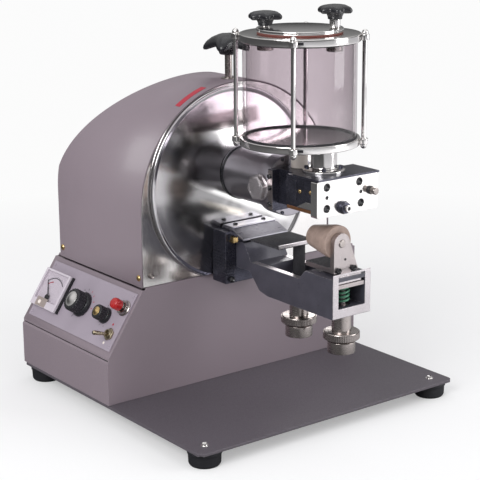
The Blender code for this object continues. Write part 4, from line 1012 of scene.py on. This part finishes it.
def neck():
    low, high, middle = box_of("hopper_neck")
    profile = [(11, low.z), (27, low.z), (27, low.z + 5.5), (24, low.z + 6.8), (17.5, low.z + 7.2)]
    profile += [(16.5, low.z + 9), (16.5, high.z), (11, high.z)]
    piece("neck_flange", lathe(profile, 112, 0.8), POLISHED, shift(*middle.xy),
          stands_for="hopper_neck")
    places = bolt_circle(21.5, 4, 50, low.z + 6.3)
    piece("neck_screws", row(places, cap_screw, 3, 3), DARK, shift(*middle.xy))
    low, high, middle = box_of("hopper_post")
    post = rod(11, low.z, high.z, 64, 0.6)
    piece("post_rod", post, IVORY, shift(*middle.xy), stands_for="hopper_post")


# ---------------------------------------------------------------- lower arm


def arm():
    refined("arm_bracket", DARK, 1.2)
    refined("lower_arm", CAST, 1.3)
    refined("chute", CHUTE, 0.5)
    chute_clamp()
    low, high, _ = box_of("lower_arm")
    arm_end(low, high)
    rims = []
    rim_z = 203
    for x, inner in ((low.x, low.x + 9.5), (high.x - 9.5, high.x)):
        rims.append(bar((x + 0.6, FACE_Y - 164, rim_z - 0.3), (inner - 0.6, FACE_Y - 68, rim_z + 0.25)))
    piece("arm_rim_faces", rims, BRIGHT_RIM, bevel=0.2)
    teeth = []
    bracket_low, bracket_high, _ = box_of("arm_bracket")
    for i in range(9):
        z = bracket_low.z + 10 + 4.2 * i
        corner = (bracket_low.x - 0.9, bracket_low.y - 0.9, z)
        teeth.append(bar(corner, (low.x - 3, bracket_high.y - 3, z + 2.1)))
    piece("bracket_serrations", teeth, DARK, bevel=0.5)
    places = [ahead_plane(MIDDLE + x, z, 33.8) for x, z in ((-37, 232), (-37, 174), (33, 174))]
    piece("arm_screws", row(places, cap_screw, 4.2, 3.4), BLACK)
    lug = bar((low.x - 12, FACE_Y - 44, 226), (low.x - 4, FACE_Y - 34.2, 234))
    piece("arm_brass_block", lug, BRASS, bevel=0.8)


def arm_end(low, high):
    """The machined face round the arm's window, and the saddle's lintel inside it."""
    end = FACE_Y - low.y
    plate = bar((low.x + 0.4, low.z + 0.4, 0), (high.x - 0.4, high.z - 4.5, 0.5))
    face = piece("arm_end_face", plate, BRIGHT_RIM, ahead_plane(0, 0, end - 0.15), 0.2)
    window = bar((low.x + 9.5, low.z + 12, -5), (high.x - 9.5, high.z - 7, 5))
    hole(face, window, ahead_plane(0, 0, end))
    lintel = bar((low.x + 10.2, high.z - 19, end - 9.8), (high.x - 13, high.z - 9, end - 3))
    piece("saddle_lintel", lintel, BRIGHT_RIM, ahead_plane(0, 0), 0.6, body="clevis")


def chute_clamp():
    """A strip with two screws that holds the chute's top edge."""
    low, high, _ = box_of("chute")
    clamp = bar((low.x + 1, FACE_Y - 33, high.z - 0.2), (high.x - 1, FACE_Y - 11, high.z + 2.2))
    piece("chute_clamp", clamp, CHUTE, bevel=1)
    places = [shift(x, FACE_Y - 22, high.z + 2) for x in (low.x + 14, high.x - 14)]
    piece("chute_clamp_screws", row(places, cap_screw, 3.2, 1.6), BLACK)


def clevis():
    refined("clevis", SATIN, 0.6, body="clevis")
    low, _, _ = box_of("clevis")
    front = FACE_Y - 222
    pin_at = joint_at("roller_spin")
    pin = [(0, 170), (5, 170), (5, 222.6), (4.4, 223.2), (0, 223.2)]
    at = ahead_plane(pin_at.x, pin_at.z)
    piece("roller_pin_end", lathe(pin, SMALL, 0.3), TURNED, at, body="clevis", stands_for="roller_pin")
    screws = row([ahead_plane(MIDDLE + x, 223, 221.6) for x in (-11, 14)], cap_screw, 3.9, 3.4)
    dowel = moved(slab(circle(1.7, 24), 0, 0.35), ahead_plane(MIDDLE + 1, 236, 222))
    piece("ear_screws", screws + [dowel], BLACK, body="clevis")
    # Painted shade: a thin near-black sheet over the saddle, where it lies in shadow.
    cap = bar((low.x + 1, front + 8, 225.6), (MIDDLE + 21.5, front + 54, 226.3))
    piece("saddle_shade_sheet", cap, TRAY_AND_SHADE, bevel=0.2, body="clevis")
    roller(pin_at)


def roller(pin_at):
    low, high, _ = box_of("roller")
    back, front = FACE_Y - high.y, FACE_Y - low.y
    profile = [(5.35, back), (14, back), (21.5, front - 8), (21.5, front), (5.35, front)]
    piece("roller_tyre", lathe(profile, FINE, 1.2), TAN, ahead_plane(pin_at.x, pin_at.z), body="roller",
          stands_for="roller")


def nut(name):
    """A thumb nut with a straight-knurled rim and a lower collar."""
    low, high, middle = box_of(name)
    at = shift(*middle.xy)
    rim_low, rim_high = low.z + 17.5, low.z + 28
    rim = slab(lobes(23.5, 0.4, 66, 1.0, 5), rim_low + 1.2, rim_high - 1.2)
    core = [(5.4, low.z), (18, low.z), (18, rim_low - 3), (16, rim_low - 2), (16, rim_low), (22, rim_low)]
    core += [(22.8, rim_low + 1.2), (22.8, rim_high - 1.2), (22, rim_high), (12.5, rim_high)]
    core += [(12.5, 163.6), (10, 163.7), (10, high.z), (5.4, high.z)]
    piece(f"{name}_knurled", [lathe(core, FINE, 0.6), rim], TURNED, at, body=name,
          stands_for=name)


def spring():
    low, high, _ = box_of("press_spring")
    radius, wire, turns = 8.5, 1.5, 4
    bm = bmesh.new()
    rings = []
    steps, sides = turns * 36, 12
    for i in range(steps + 1):
        angle = 2 * pi * i / 36
        height = low.z + wire + (high.z - low.z - 2 * wire) * i / steps
        ring = []
        for k in range(sides):
            around = 2 * pi * k / sides
            reach = radius + wire * cos(around)
            ring.append(bm.verts.new((reach * cos(angle), reach * sin(angle),
                                      height + wire * sin(around))))
        rings.append(ring)
    skin(bm, rings, sides)
    bm.faces.new(rings[0])
    bm.faces.new(rings[-1])
    at = shift(*joint_at("front_nut_turn")[:2])
    coil = piece("press_spring_coil", bm, GREEN, at, body=None, stands_for="press_spring")
    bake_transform(coil)


def tray():
    refined("tray", TRAY_AND_SHADE, 0.4, body="tray")
    low, high, _ = box_of("tray")
    lip = bar((low.x, low.y - 0.05, high.z - 4.2), (high.x, low.y + 1.9, high.z + 0.2))
    piece("tray_lip", lip, BRIGHT_RIM, bevel=0.3, body="tray")


def hidden_parts():
    """What only shows with a cover off keeps its CAD shape and gets its finish."""
    looks = {"main_shaft": TURNED, "bearing_front": TURNED, "bearing_rear": TURNED,
             "motor_pulley": TURNED, "bulkhead": CAST, "gear_motor": CAST, "main_pulley": CAST,
             "drive_belt": RUBBER, "speed_controller": GREEN, "drive_gear": BRASS, "idler_gear": BRASS,
             "meter_needle": INK}
    for node, surface in looks.items():
        NODES[node].data.materials.clear()
        NODES[node].data.materials.append(surface)


# ---------------------------------------------------------------- studio

CAMERA_AT = (-1.1513, -1.5259, 0.7236)
CAMERA_AZIMUTH = radians(-37.14)  # negative on the machine's left
CAMERA_ELEVATION = radians(14.84)
CAMERA_ROLL = radians(-0.42)


def camera():
    data = bpy.data.cameras.new("Camera")
    data.lens = 108.56
    data.sensor_width = 36
    made = shown("Camera", data)
    tilt = Matrix.Rotation(pi / 2 - CAMERA_ELEVATION, 4, "X") @ spin(CAMERA_ROLL)
    made.matrix_world = Matrix.Translation(CAMERA_AT) @ spin(CAMERA_AZIMUTH) @ tilt
    bpy.context.scene.camera = made


def floor():
    bm = bmesh.new()
    bmesh.ops.create_grid(bm, x_segments=1, y_segments=1, size=20)
    mesh = mesh_of("floor", bm)
    made = shown("floor", mesh)
    surface, tree, shader = nodes_of("Pale floor")
    place = add(tree, "NewGeometry").outputs["Position"]
    split = add(tree, "SeparateXYZ", {"Vector": place}).outputs
    side = calc(tree, "SUBTRACT", split["X"], split["Y"])
    seen = spread(tree, side, 0.12, 1.0, 0.2, 1.1)
    dim = add(tree, "CombineColor", {0: seen, 1: seen, 2: seen}).outputs["Color"]
    rays = add(tree, "LightPath").outputs
    tint = mixed(tree, rays["Is Glossy Ray"], rgb((0.93, 0.93, 0.93)), dim)
    feed_all(shader, {"Base Color": tint, "Roughness": 0.9, "Specular IOR Level": 0.1})
    away = add(tree, "VectorMath", {0: place}, operation="LENGTH").outputs["Value"]
    share = spread(tree, away, 0.35, 1.0, 0.3, 1.3)
    seen = calc(tree, "MULTIPLY", share, rays["Is Camera Ray"])
    glow = add(tree, "Emission", {"Color": rgb((0.97, 0.97, 0.97))}).outputs["Emission"]
    values = {"Fac": seen, 1: shader.outputs["BSDF"], 2: glow}
    blend = add(tree, "MixShader", values).outputs["Shader"]
    feed(tree.nodes["Material Output"].inputs["Surface"], blend)
    mesh.materials.append(surface)


def soft_light(name, at, towards, width, height, power):
    data = bpy.data.lights.new(name, "AREA")
    data.shape = "RECTANGLE"
    data.size = width
    data.size_y = height
    data.energy = power
    made = shown(name, data)
    made.location = at
    made.rotation_euler = (Vector(at) - Vector(towards)).to_track_quat("Z", "Y").to_euler()


def sky():
    """Dim room for reflections, lighter overhead; flat light for everything else."""
    world = bpy.data.worlds.new("Studio")
    world.use_nodes = True
    tree = world.node_tree
    place = add(tree, "TexCoord").outputs["Generated"]
    split = add(tree, "SeparateXYZ", {"Vector": place}).outputs
    level = spread(tree, split["Z"], 0.045, 0.72, 0.0, 0.6)
    grey = add(tree, "CombineColor", {0: level, 1: level, 2: level}).outputs["Color"]
    rays = add(tree, "LightPath").outputs
    tint = mixed(tree, rays["Is Glossy Ray"], rgb((0.56, 0.56, 0.58)), grey)
    seen = mixed(tree, rays["Is Camera Ray"], tint, rgb((0.97, 0.97, 0.97)))
    feed(tree.nodes["Background"].inputs["Color"], seen)
    bpy.context.scene.world = world


def studio():
    floor()
    sky()
    soft_light("Key", (-1.9, -0.9, 1.5), (0, 0, 0.2), 1.2, 1.2, 36)
    soft_light("Right card", (1.5, -1.6, 0.9), (0, 0, 0.3), 1.0, 1.6, 22)
    soft_light("Top", (0.3, 0.2, 2.2), (0, 0, 0.3), 1.6, 1.6, 5)
    camera()
    bpy.context.scene.view_settings.view_transform = "Standard"


base()
console()
service_side()
panel_print()
knob("speed_knob", 18, 21, POLISHED, 0.6)
knob("range_knob", 11.5, 17, BRASS, 0.55)
start_button()
toggle()
meter()
arch_radius, arch_centre = hood()
front_plate()
dish()
hood_clamp(arch_radius, arch_centre)
spindle()
head()
pump_cover()
pump_side()
nozzle()
hopper()
lid()
neck()
arm()
clevis()
nut("front_nut")
nut("rear_nut")
spring()
tray()
hidden_parts()
studio()
